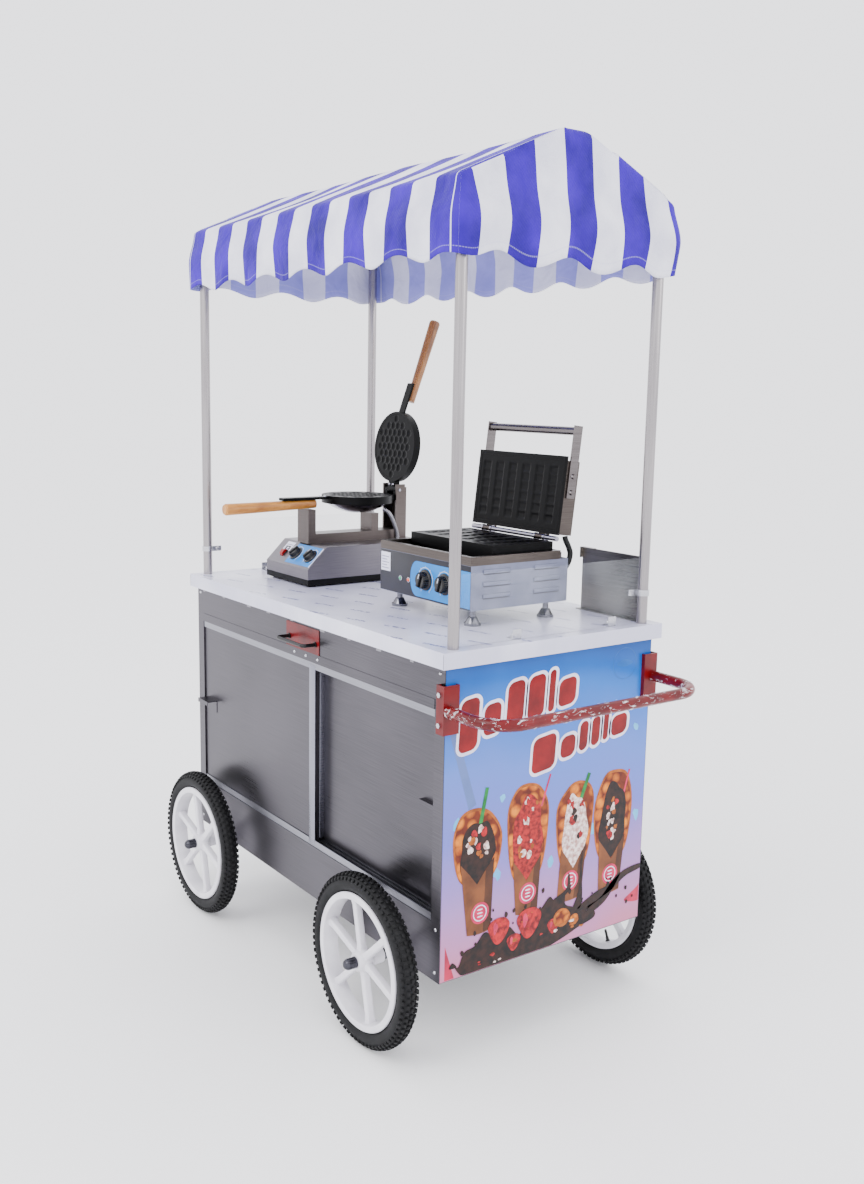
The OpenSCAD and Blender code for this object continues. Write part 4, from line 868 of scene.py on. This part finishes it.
# ---- End guards ----
# Clear acrylic screens at both ends, held by bright angle brackets and dome nuts, and a plain
# steel splash guard behind the stick waffle maker.
acrylic, shader = new_material("cast_clear_acrylic", "#E9EEF2", 0.04, ior=1.49, specular_ior_level=0.3)
place = add_node(acrylic, "TexCoord").outputs["Object"]
scuffs = add_node(acrylic, "TexNoise", {"Vector": place, "Scale": 6.0, "Detail": 5.0})
haze = add_node(acrylic, "MapRange", {"Value": scuffs, "From Min": 0.4, "From Max": 0.7,
                                      "To Min": 0.02, "To Max": 0.07})
feed(shader, {"Alpha": haze})
show_as(acrylic, "wind_guards")
show_as(zinc, "guard_brackets")
guard_steel = brushed_metal("splash_guard_stainless", "#8C8782", "#625E5B", 0.3, 1.4)
show_as(guard_steel, "splash_guard")

# ---- Round waffle maker: body ----
# A brushed stainless housing with a sloped front stands on a black base. The pans rest on a
# folded stand over a polished heater bowl.
housing_steel = brushed_metal("housing_stainless", "#7C787D", "#615E64", 0.33, 0.8)
show_as(housing_steel, "bubble_housing")
stand_steel = brushed_metal("stand_stainless", "#615957", "#4A4441", 0.34, 0.8)
show_as(stand_steel, "bubble_stand")
polished = brushed_metal("polished_stainless", "#A8A6B0", "#92909C", 0.13, 0.7)
show_as(polished, "bubble_heater", "bubble_upper_cover", "lid_hinges")
base_black = coated("black_powder_coat", "#0B0B0D", "#060607", 0.5, 40, 1.6, 0.15,
                    specular_ior_level=0.12)
show_as(base_black, "bubble_base")
cast_black = coated("black_cast_coating", "#050506", "#020203", 0.36, 30, 1.8, 0.12,
                    specular_ior_level=0.09)
show_as(cast_black, "bubble_lower_pan", "bubble_upper_pan", "stick_lower_plate", "stick_upper_plate")

# The sloped panel: everything on it is made flat about the origin, then laid on the slope
bubble_low, bubble_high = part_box("bubble_housing")
bubble_x = (bubble_low.x + bubble_high.x) / 2
SLOPE, SLOPE_FOOT = 44.5, (bubble_x, bubble_low.y, 0.994)


def on_slope(x, up, lift=0.0):
    """The matrix that lays a flat thing on the sloped panel, this far along and up it, in metres."""
    return moved(*SLOPE_FOOT) @ spun(SLOPE, "X") @ moved(x, up, lift)


def sticker(outline, thickness=0.25 * MM):
    """A flat printed label of this outline in mm, with its own thickness."""
    label = bmesh.new()
    label.faces.new([label.verts.new((x * MM, y * MM, 0)) for x, y in outline])
    bmesh.ops.triangulate(label, faces=label.faces)
    made = bmesh.ops.extrude_face_region(label, geom=label.faces[:])
    for v in made["geom"]:
        if isinstance(v, bmesh.types.BMVert):
            v.co.z += thickness
    bmesh.ops.recalc_face_normals(label, faces=label.faces)
    return new_piece("label", label)


def placed(piece, matrix):
    """Moves a piece's mesh."""
    piece.data.transform(matrix)
    return piece


def oblong(x0, y0, x1, y1):
    """The outline of a rectangle, from its lowest to its highest corner."""
    return [(x0, y0), (x1, y0), (x1, y1), (x0, y1)]


def label(name, vinyl, spot, *outlines, hides=()):
    """One printed label made of these outlines in mm, stuck on at this spot."""
    prints = [sticker(outline) for outline in outlines]
    shape = joined(*prints) if len(prints) > 1 else prints[0]
    finished(placed(shape, spot), name, vinyl, "cart", "label_film", *hides, smooth=0)


def rating_label(machine, spot, ink_spot, outline, first, short, count):
    """A white label with grey bars for its lines, 7 mm apart, each second one shorter."""
    left, _, right, _ = outline
    label(machine + "_rating_label", white_vinyl, spot, oblong(*outline))
    lines = [oblong(left + 4, first + 7 * k, right - 6 - short * (k % 2), first + 2 + 7 * k)
             for k in range(count)]
    label(machine + "_rating_label_lines", label_grey, ink_spot, *lines)


blue_vinyl = ink("blue_panel_vinyl", "#1280CC", "#0C74C0", 60, roughness=0.3)
white_vinyl = ink("white_label_vinyl", "#E9E9F6", "#D9D9EE", 30, roughness=0.35)
label_grey = ink("grey_label_print", "#8A8AA6", "#77779A", 20, roughness=0.4)
panel_spot = on_slope(0, 0, 0.1 * MM)
label("bubble_panel_label", blue_vinyl, panel_spot, oblong(-22, 7, 107, 74), hides=("machine_labels",))
label("bubble_panel_label_edge", white_vinyl, panel_spot, oblong(107, 7, 110.5, 74))
rating_label("bubble", panel_spot, on_slope(0, 0, 0.3 * MM), (-82, 44, -40, 74), 49, 9, 3)

# ---- Round waffle maker: controls ----
# Two black moulded knobs turn over grey dial rings, next to a red rocker in a black bezel.
knob_black, shader = new_material("glossy_black_phenolic", "#0C0C0E", 0.16, specular_ior_level=0.4)
place = add_node(knob_black, "TexCoord").outputs["Object"]
wear = add_node(knob_black, "TexNoise", {"Vector": place, "Scale": 90.0, "Detail": 3.0})
shine = add_node(knob_black, "MapRange", {"Value": wear, "From Min": 0.3, "From Max": 0.7,
                                          "To Min": 0.12, "To Max": 0.24})
tone = add_node(knob_black, "ValToRGB", {"Fac": wear}, stops=((0.3, "#09090A"), (0.7, "#121214")))
feed(shader, {"Roughness": shine, "Base Color": tone})
dial_grey = ink("grey_dial_print", "#D7D9E2", "#B9BCC8", 12, roughness=0.35)


def control_knob(radius, height):
    """A knob about the Z axis: a flat skirt, a fluted body and a raised grip bar across the top."""
    body_r = radius * 0.74
    skirt = turned([(0, 0), (radius - 0.0006, 0), (radius, 0.0006), (radius - 0.0002, 0.0022),
                    (body_r + 0.001, 0.0034), (body_r, 0.0046), (body_r * 0.93, height * 0.72),
                    (body_r * 0.86, height * 0.80), (0, height * 0.82)], 48)
    flute = block((body_r * 0.9, -0.0009, 0.0045), (body_r * 1.045, 0.0009, height * 0.7), 0.0004, 1)
    bar = block((-body_r * 0.86, -radius * 0.19, height * 0.5), (body_r * 0.86, radius * 0.19, height),
                0.0016, 3)
    return joined(skirt, ring_of(flute, 24), bar)


def dial_ring(radius, start, end):
    """A flat printed arc with tick marks outside it, angles in degrees."""
    inner, outer_arc = [], []
    for k in range(33):
        a = math.radians(start + (end - start) * k / 32)
        inner.append((radius * math.cos(a), radius * math.sin(a)))
        outer_arc.append(((radius + 1.6) * math.cos(a), (radius + 1.6) * math.sin(a)))
    marks = [sticker(outer_arc + inner[::-1])]
    for k in range(9):
        mark = sticker(oblong(radius + 2.4, -0.5, radius + 4.6, 0.5))
        marks.append(placed(mark, spun(start + (end - start) * k / 8, "Z")))
    return joined(*marks)


def dial_control(machine, side, body, spin_at, radius, height, turn, pointer, dial, dial_lift):
    """A knob and its pointer, turned this many degrees on their own body, over a printed dial."""
    turned_to = spin_at @ spun(turn, "Z")
    finished(placed(control_knob(radius, height), turned_to), f"{machine}_control_knob_{side}",
             knob_black, body, "black_moulding", f"{machine}_knob_{side}")
    top = turned_to @ spun(-90, "Z") @ moved(0, 0, height)
    finished(placed(sticker(oblong(*pointer)), top), f"{machine}_knob_pointer_{side}",
             dial_grey, body, "black_moulding", smooth=0)
    finished(placed(dial_ring(*dial), spin_at @ moved(0, 0, dial_lift)),
             f"{machine}_dial_{side}", dial_grey, "cart", "label_film", smooth=0)


for side, x, body in (("left", 2, "bubble_timer_knob"), ("right", 80, "bubble_heat_knob")):
    dial_control("bubble", side, body, on_slope(x * MM, 40.6 * MM), 0.0215, 0.0195, 64,
                 (-1.0, 4, 1.0, 14.5), (23.6, -50, 230), 0.4 * MM)
red_rocker = coated("red_moulded_plastic", "#A80C14", "#7E080E", 0.25, 14, 1.5, 0.04,
                    specular_ior_level=0.4)
show_as(red_rocker, "bubble_switch")
bezel = joined(*(block(low, high, 0.0006, 2) for low, high in (
    ((-0.0705, 0.0265, 0), (-0.0672, 0.0585, 0.002)), ((-0.0528, 0.0265, 0), (-0.0495, 0.0585, 0.002)),
    ((-0.0672, 0.0265, 0), (-0.0528, 0.0292, 0.002)), ((-0.0672, 0.0558, 0), (-0.0528, 0.0585, 0.002)))))
finished(placed(bezel, on_slope(0, 0)), "bubble_switch_bezel", black_plastic, "cart", "black_moulding")

# ---- Round waffle maker: pans and grips ----
# Cast pans with a hexagonal field of round pockets. The lower grip is pale turned wood, the
# upper one brown wood, both held on flat tongues by small bright screws.
PAN_Y, PAN_FACE, PAN_R, POCKET = 0.074, 1.179, 0.0915, 0.023
PIT_TOP, PIT_DEEP = 0.0030, 0.0028
PAN_HINGE = Vector((bubble_x, 0.196, 1.190))


def pitted_sheet(nx, ny, point):
    """A sheet of square faces; point(u, v) gives the place of each corner, with u and v from 0 to 1."""
    field = bmesh.new()
    knots = [[field.verts.new(point(i / nx, j / ny)) for j in range(ny + 1)] for i in range(nx + 1)]
    for i in range(nx):
        for j in range(ny):
            field.faces.new((knots[i][j], knots[i + 1][j], knots[i + 1][j + 1], knots[i][j + 1]))
    return new_piece("field", field)


def round_pockets(u, v):
    """A corner of the pan's disc, sunk where it lies in one of the staggered round pockets."""
    u, v = 2 * u - 1, 2 * v - 1
    x, y = PAN_R * u * math.sqrt(1 - v * v / 2), PAN_R * v * math.sqrt(1 - u * u / 2)
    row = round(y / (POCKET * 0.866))
    depth = 0.0
    for near in (row - 1, row, row + 1):
        py = near * POCKET * 0.866
        shift = POCKET / 2 if near % 2 else 0.0
        px = round((x - shift) / POCKET) * POCKET + shift
        away = math.hypot(x - px, y - py) / 0.0098
        if away < 1 and math.hypot(px, py) < PAN_R - 0.009:
            depth = max(depth, math.sqrt(1 - away * away) * 0.9 + 0.1 * (1 - away))
    return x, y, PIT_TOP - depth * PIT_DEEP


def swung(hinge, degrees):
    """The matrix that opens a lid about its hinge, which lies along X."""
    return moved(*hinge) @ spun(degrees, "X") @ moved(*-hinge)


swing_pan = swung(PAN_HINGE, -96)
for name, body, spot in (
        ("lower_pan_pockets", "cart", moved(bubble_x, PAN_Y, PAN_FACE - 0.0035)),
        ("upper_pan_pockets", "bubble_lid",
         swing_pan @ moved(bubble_x, PAN_Y, PAN_FACE + 0.0038) @ spun(180, "X"))):
    pockets = pitted_sheet(104, 104, round_pockets)
    finished(placed(pockets, spot), name, cast_black, body, "black_cast", smooth=60)


def turned_wood(name, light, dark, roughness):
    """Lathe-turned hardwood: grain lines about 2 mm apart run along Y."""
    wood, shader = new_material(name, light, roughness, coat_weight=0.15, coat_roughness=0.3)
    place = add_node(wood, "TexCoord").outputs["Object"]
    along = add_node(wood, "Mapping", {"Vector": place, "Scale": (500, 28, 28)})
    lines = add_node(wood, "TexNoise", {"Vector": along, "Scale": 1.0, "Detail": 5.0,
                                        "Distortion": 0.5})
    wide = add_node(wood, "Mapping", {"Vector": place, "Scale": (130, 7, 7)})
    bands = add_node(wood, "TexNoise", {"Vector": wide, "Scale": 1.0, "Detail": 2.0})
    both = add_node(wood, "Math", {0: lines, 1: bands}, operation="ADD")
    half = add_node(wood, "Math", {0: both, 1: 0.5}, operation="MULTIPLY")
    tone = add_node(wood, "ValToRGB", {"Fac": half}, stops=((0.38, dark), (0.6, light)))
    relief = add_node(wood, "Bump", {"Height": lines, "Distance": 0.0002, "Strength": 1.0})
    feed(shader, {"Base Color": tone, "Normal": relief})
    return wood


show_as(turned_wood("pale_turned_beech", "#C98A38", "#93591C", 0.42), "bubble_lower_grip")
show_as(turned_wood("brown_turned_wood", "#94602E", "#65391A", 0.45), "bubble_upper_grip")


def dome_screw(radius, height):
    """A bright round-headed screw about Z, standing on the XY plane."""
    return turned([(radius, 0), *arc((0, height - radius * 1.1), radius * 1.1, 24, 90, 8)], 20)


tongue_y = PAN_Y - 0.106
screws = [placed(dome_screw(0.0042, 0.0034), moved(bubble_x, y, PAN_FACE - 0.002))
          for y in (tongue_y, tongue_y - 0.018)]
finished(joined(*screws), "lower_tongue_screws", zinc, "cart", "bright_fastener")
screws = [placed(dome_screw(0.0046, 0.0036), swing_pan @ Matrix.Translation(
    (bubble_x + x, PAN_Y + 0.1085, PAN_FACE + 0.0043)) @ spun(180, "X"))
          for x in (-0.009, 0.009)]
finished(joined(*screws), "upper_pan_hinge_screws", polished, "bubble_lid", "bright_fastener")

# ---- Round waffle maker: conduit ----
# A short braided steel conduit carries the leads from the bowl down into the deck.
braid, shader = new_material("braided_steel_sleeve", "#8F8D92", 0.36, metallic=1.0)
place = add_node(braid, "TexCoord").outputs["Object"]
coils = add_node(braid, "TexWave", {"Vector": place, "Scale": 95.0, "Distortion": 0.4},
                 bands_direction="DIAGONAL").outputs["Fac"]
# The tone darkens where the same wave sinks the bump: painted shade in the hollows between the wires.
tone = add_node(braid, "ValToRGB", {"Fac": coils}, stops=((0.2, "#5E5C62"), (0.8, "#A8A6AC")))
relief = add_node(braid, "Bump", {"Height": coils, "Distance": 0.0006, "Strength": 1.0})
feed(shader, {"Base Color": tone, "Normal": relief})


def hose(points, diameter, sides=20, ripple=0.0):
    """A smooth round tube through these points in mm, with rings this deep in mm when it is ribbed."""
    centres = []
    for k in range(len(points) - 1):
        around = [Vector(points[max(0, min(len(points) - 1, k + j))]) * MM for j in range(-1, 3)]
        centres += [smooth_point(*around, s / 10) for s in range(10)]
    centres.append(Vector(points[-1]) * MM)
    tube, rings = bmesh.new(), []
    side = Vector((1, 0, 0))
    for k, centre in enumerate(centres):
        ahead = (centres[min(k + 1, len(centres) - 1)] - centres[max(k - 1, 0)]).normalized()
        side = (side - ahead * side.dot(ahead)).normalized()
        up = ahead.cross(side)
        r = diameter * MM / 2 - (ripple * MM if k % 2 else 0)
        rings.append([tube.verts.new(centre + (side * math.cos(a) + up * math.sin(a)) * r)
                      for a in (2 * math.pi * j / sides for j in range(sides))])
    for low_ring, high_ring in zip(rings, rings[1:]):
        for j in range(sides):
            i = (j + 1) % sides
            tube.faces.new((low_ring[j], low_ring[i], high_ring[i], high_ring[j]))
    tube.faces.new(rings[0])
    tube.faces.new(rings[-1])
    bmesh.ops.recalc_face_normals(tube, faces=tube.faces)
    return new_piece("hose", tube)


bubble_route = [(44, 134, 1139), (50, 146, 1131), (54, 156, 1117), (55, 164, 1099), (54, 172, 1081),
                (52, 178, 1065), (52, 180, 1051.3)]
lead = placed(hose(bubble_route, 11, ripple=0.35), moved(bubble_x, 0, 0))
finished(lead, "bubble_braided_conduit", braid, "cart", "conduit_sleeve", "bubble_conduit", smooth=60)

# ---- Stick waffle maker: body ----
# A louvred housing in grey hammered paint, a dark front sheet as painted reflection, and a folded steel
# drip tray.
grey_paint = coated("grey_hammered_paint", "#777B92", "#666A80", 0.36, 35, 2.6, 0.12, metallic=0.3)
show_as(grey_paint, "stick_housing")
tray_steel = brushed_metal("tray_stainless", "#5E5753", "#463F3C", 0.3, 0.8)
show_as(tray_steel, "stick_tray", "stick_lid_casing")
show_as(brushed_metal("hoop_stainless", "#7A7575", "#5C5656", 0.24, 0.9), "stick_lid_handle")
dark_chrome = brushed_metal("dark_chrome", "#77777E", "#5E5E66", 0.12, 0.7)
show_as(dark_chrome, "stick_feet")
stick_low, stick_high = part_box("stick_housing")
stick_x = (stick_low.x + stick_high.x) / 2
SIDE_X = 0.182
# A thin dark slate sheet covers the front: a painted reflection of dark surroundings in the steel front.
painted_reflection_panel = coated("dark_slate_panel", "#1F1F29", "#17171F", 0.34, 50, 1.8, 0.06,
                    specular_ior_level=0.3)
reflection_sheet = block((stick_x - SIDE_X + 0.2 * MM, stick_low.y - 0.7 * MM, stick_low.z + 1 * MM),
               (stick_x + SIDE_X - 0.2 * MM, stick_low.y - 0.05 * MM, stick_high.z - 0.6 * MM),
               0.25 * MM, 2)
finished(reflection_sheet, "stick_front_painted_reflection", painted_reflection_panel, "cart", "grey_steel")


# Three pairs of pressed louvres open downwards in each side; a dark strip under each hood is painted
# shade in the opening
hoods, slots = [], []
for side in (-1, 1):
    for y in (-84 * MM, 66 * MM):
        for row in range(3):
            z = stick_low.z + (28 * (row + 1) - 1.5) * MM
            face = stick_x + side * SIDE_X
            hood_x, slot_x = (sorted((face, face + side * out * MM)) for out in (3.4, 0.4))
            hoods.append(block((hood_x[0], y, z), (hood_x[1], y + 80 * MM, z + 9.5 * MM), 2.2 * MM, 3))
            slots.append(block((slot_x[0], y + 2 * MM, z - 2.4 * MM), (slot_x[1], y + 78 * MM, z),
                               0.1 * MM, 1))
finished(joined(*hoods), "stick_louvre_hoods", grey_paint, "cart", "grey_steel")
finished(joined(*slots), "stick_louvre_slot_shade", shadow_gap, "cart", "grey_steel")


def on_front(x, z, lift=0.0):
    """The matrix that stands a flat thing on the front panel, x from its middle and z in metres."""
    return (moved(stick_x + x, stick_low.y - 0.75 * MM - lift, z)
            @ spun(90, "X"))


# The blue label has a rounded left end and runs to the corner
left_end = [(-26 + 26 * math.cos(a), 42 * math.sin(a))
            for a in (math.radians(90 + 180 * k / 16) for k in range(17))]
label("stick_panel_label", blue_vinyl, on_front(0, 1.0315), [(181.6, 42)] + left_end + [(181.6, -42)])
rating_label("stick", on_front(0, 1.034), on_front(0, 1.034, 0.3 * MM), (-178, 0, -138, 46), 6, 8, 5)

# ---- Stick waffle maker: controls ----
# Two larger knobs over printed dials, and two small lamps, green and orange, in bright collars.
for side, body in (("left", "stick_timer_knob"), ("right", "stick_heat_knob")):
    low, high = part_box("stick_knob_" + side)
    dial_control("stick", side, body, on_front((low.x + high.x) / 2 - stick_x, (low.z + high.z) / 2),
                 0.0255, 0.0235, 70, (-1.2, 5, 1.2, 17.5), (28.5, -60, 240), 0.5 * MM)
LAMP_R = 0.0042
for name, x, colour, deep in (("green", -92, "#28C08A", "#159868"),
                              ("orange", -58, "#FF6A32", "#D8481A")):
    lens = coated(name + "_lamp_lens", colour, deep, 0.12, 6, 1.2, 0.02, coat_weight=0.6)
    dome = turned([(LAMP_R, 0.0006), *arc((0, 0.0012), LAMP_R, 0, 90, 6)], 24)
    finished(placed(dome, on_front(x * MM, 1.024)), "stick_lamp_" + name, lens, "cart", "label_film")
    collar = turned([(LAMP_R, 0), (0.0066, 0), (0.0066, 0.0012), (0.0060, 0.0022), (0.0048, 0.0024),
                     (LAMP_R, 0.0014), (LAMP_R, 0)], 28)
    finished(placed(collar, on_front(x * MM, 1.024)), "stick_lamp_collar_" + name, zinc, "cart",
             "bright_fastener")

# ---- Stick waffle maker: plates and lid ----
# Cast plates with six long pockets, each crossed by ribs. The lid swings on a pair of lugs.
PLATE_W, PLATE_Z = 0.322, 1.126
LID_HINGE = Vector((stick_x, 0.154, 1.131))


def ribbed_pockets(depth_y):
    """A sheet in the XY plane with six ribbed pockets, whose flat parts lie at the top."""
    width = PLATE_W - 0.0206

    def point(u, v):
        x, y = width * (u - 0.5), depth_y * (v - 0.5)
        column = min(5, int((x / width + 0.5) * 6))
        across = abs(x - width * ((column + 0.5) / 6 - 0.5)) / 0.0155
        reach = abs(y) / (depth_y / 2 - 0.013)
        inside = min(1.0, max(0.0, (1 - across) * 5)) * min(1.0, max(0.0, (1 - reach) * 9))
        rib = 0.5 + 0.5 * math.cos(2 * math.pi * y / 0.0235)
        return x, y, PIT_TOP - inside * (1 - 0.62 * rib ** 3) * PIT_DEEP

    return pitted_sheet(150, 84, point)


for name, body, depth_y, spot in (
        ("lower_plate_pockets", "cart", 0.1585, moved(stick_x, 0.0475, PLATE_Z - 0.0035)),
        ("upper_plate_pockets", "stick_lid", 0.1665,
         swung(LID_HINGE, -96.5) @ moved(stick_x, 0.0515, PLATE_Z + 0.0038) @ spun(180, "X"))):
    finished(placed(ribbed_pockets(depth_y), spot), name, cast_black, body, "black_cast", smooth=60)

# ---- Stick waffle maker: conduit ----
# A black ribbed conduit carries the lid's leads.
conduit_black = coated("black_ribbed_conduit", "#101012", "#09090A", 0.42, 20, 1.2, 0.05,
                       specular_ior_level=0.25)
stick_route = [(0, 34, 3), (1, 36, -6), (3, 43, -20), (5, 48, -36), (6, 45, -52), (7, 37, -65),
               (8, 27, -73), (8, 18.3, -73)]
lid_lead = placed(hose(stick_route, 14, ripple=0.5), moved(*LID_HINGE) @ moved(0.151, 0, 0))
finished(lid_lead, "stick_lid_conduit", conduit_black, None, "conduit_sleeve", "stick_conduit",
         smooth=180)
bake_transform(lid_lead)
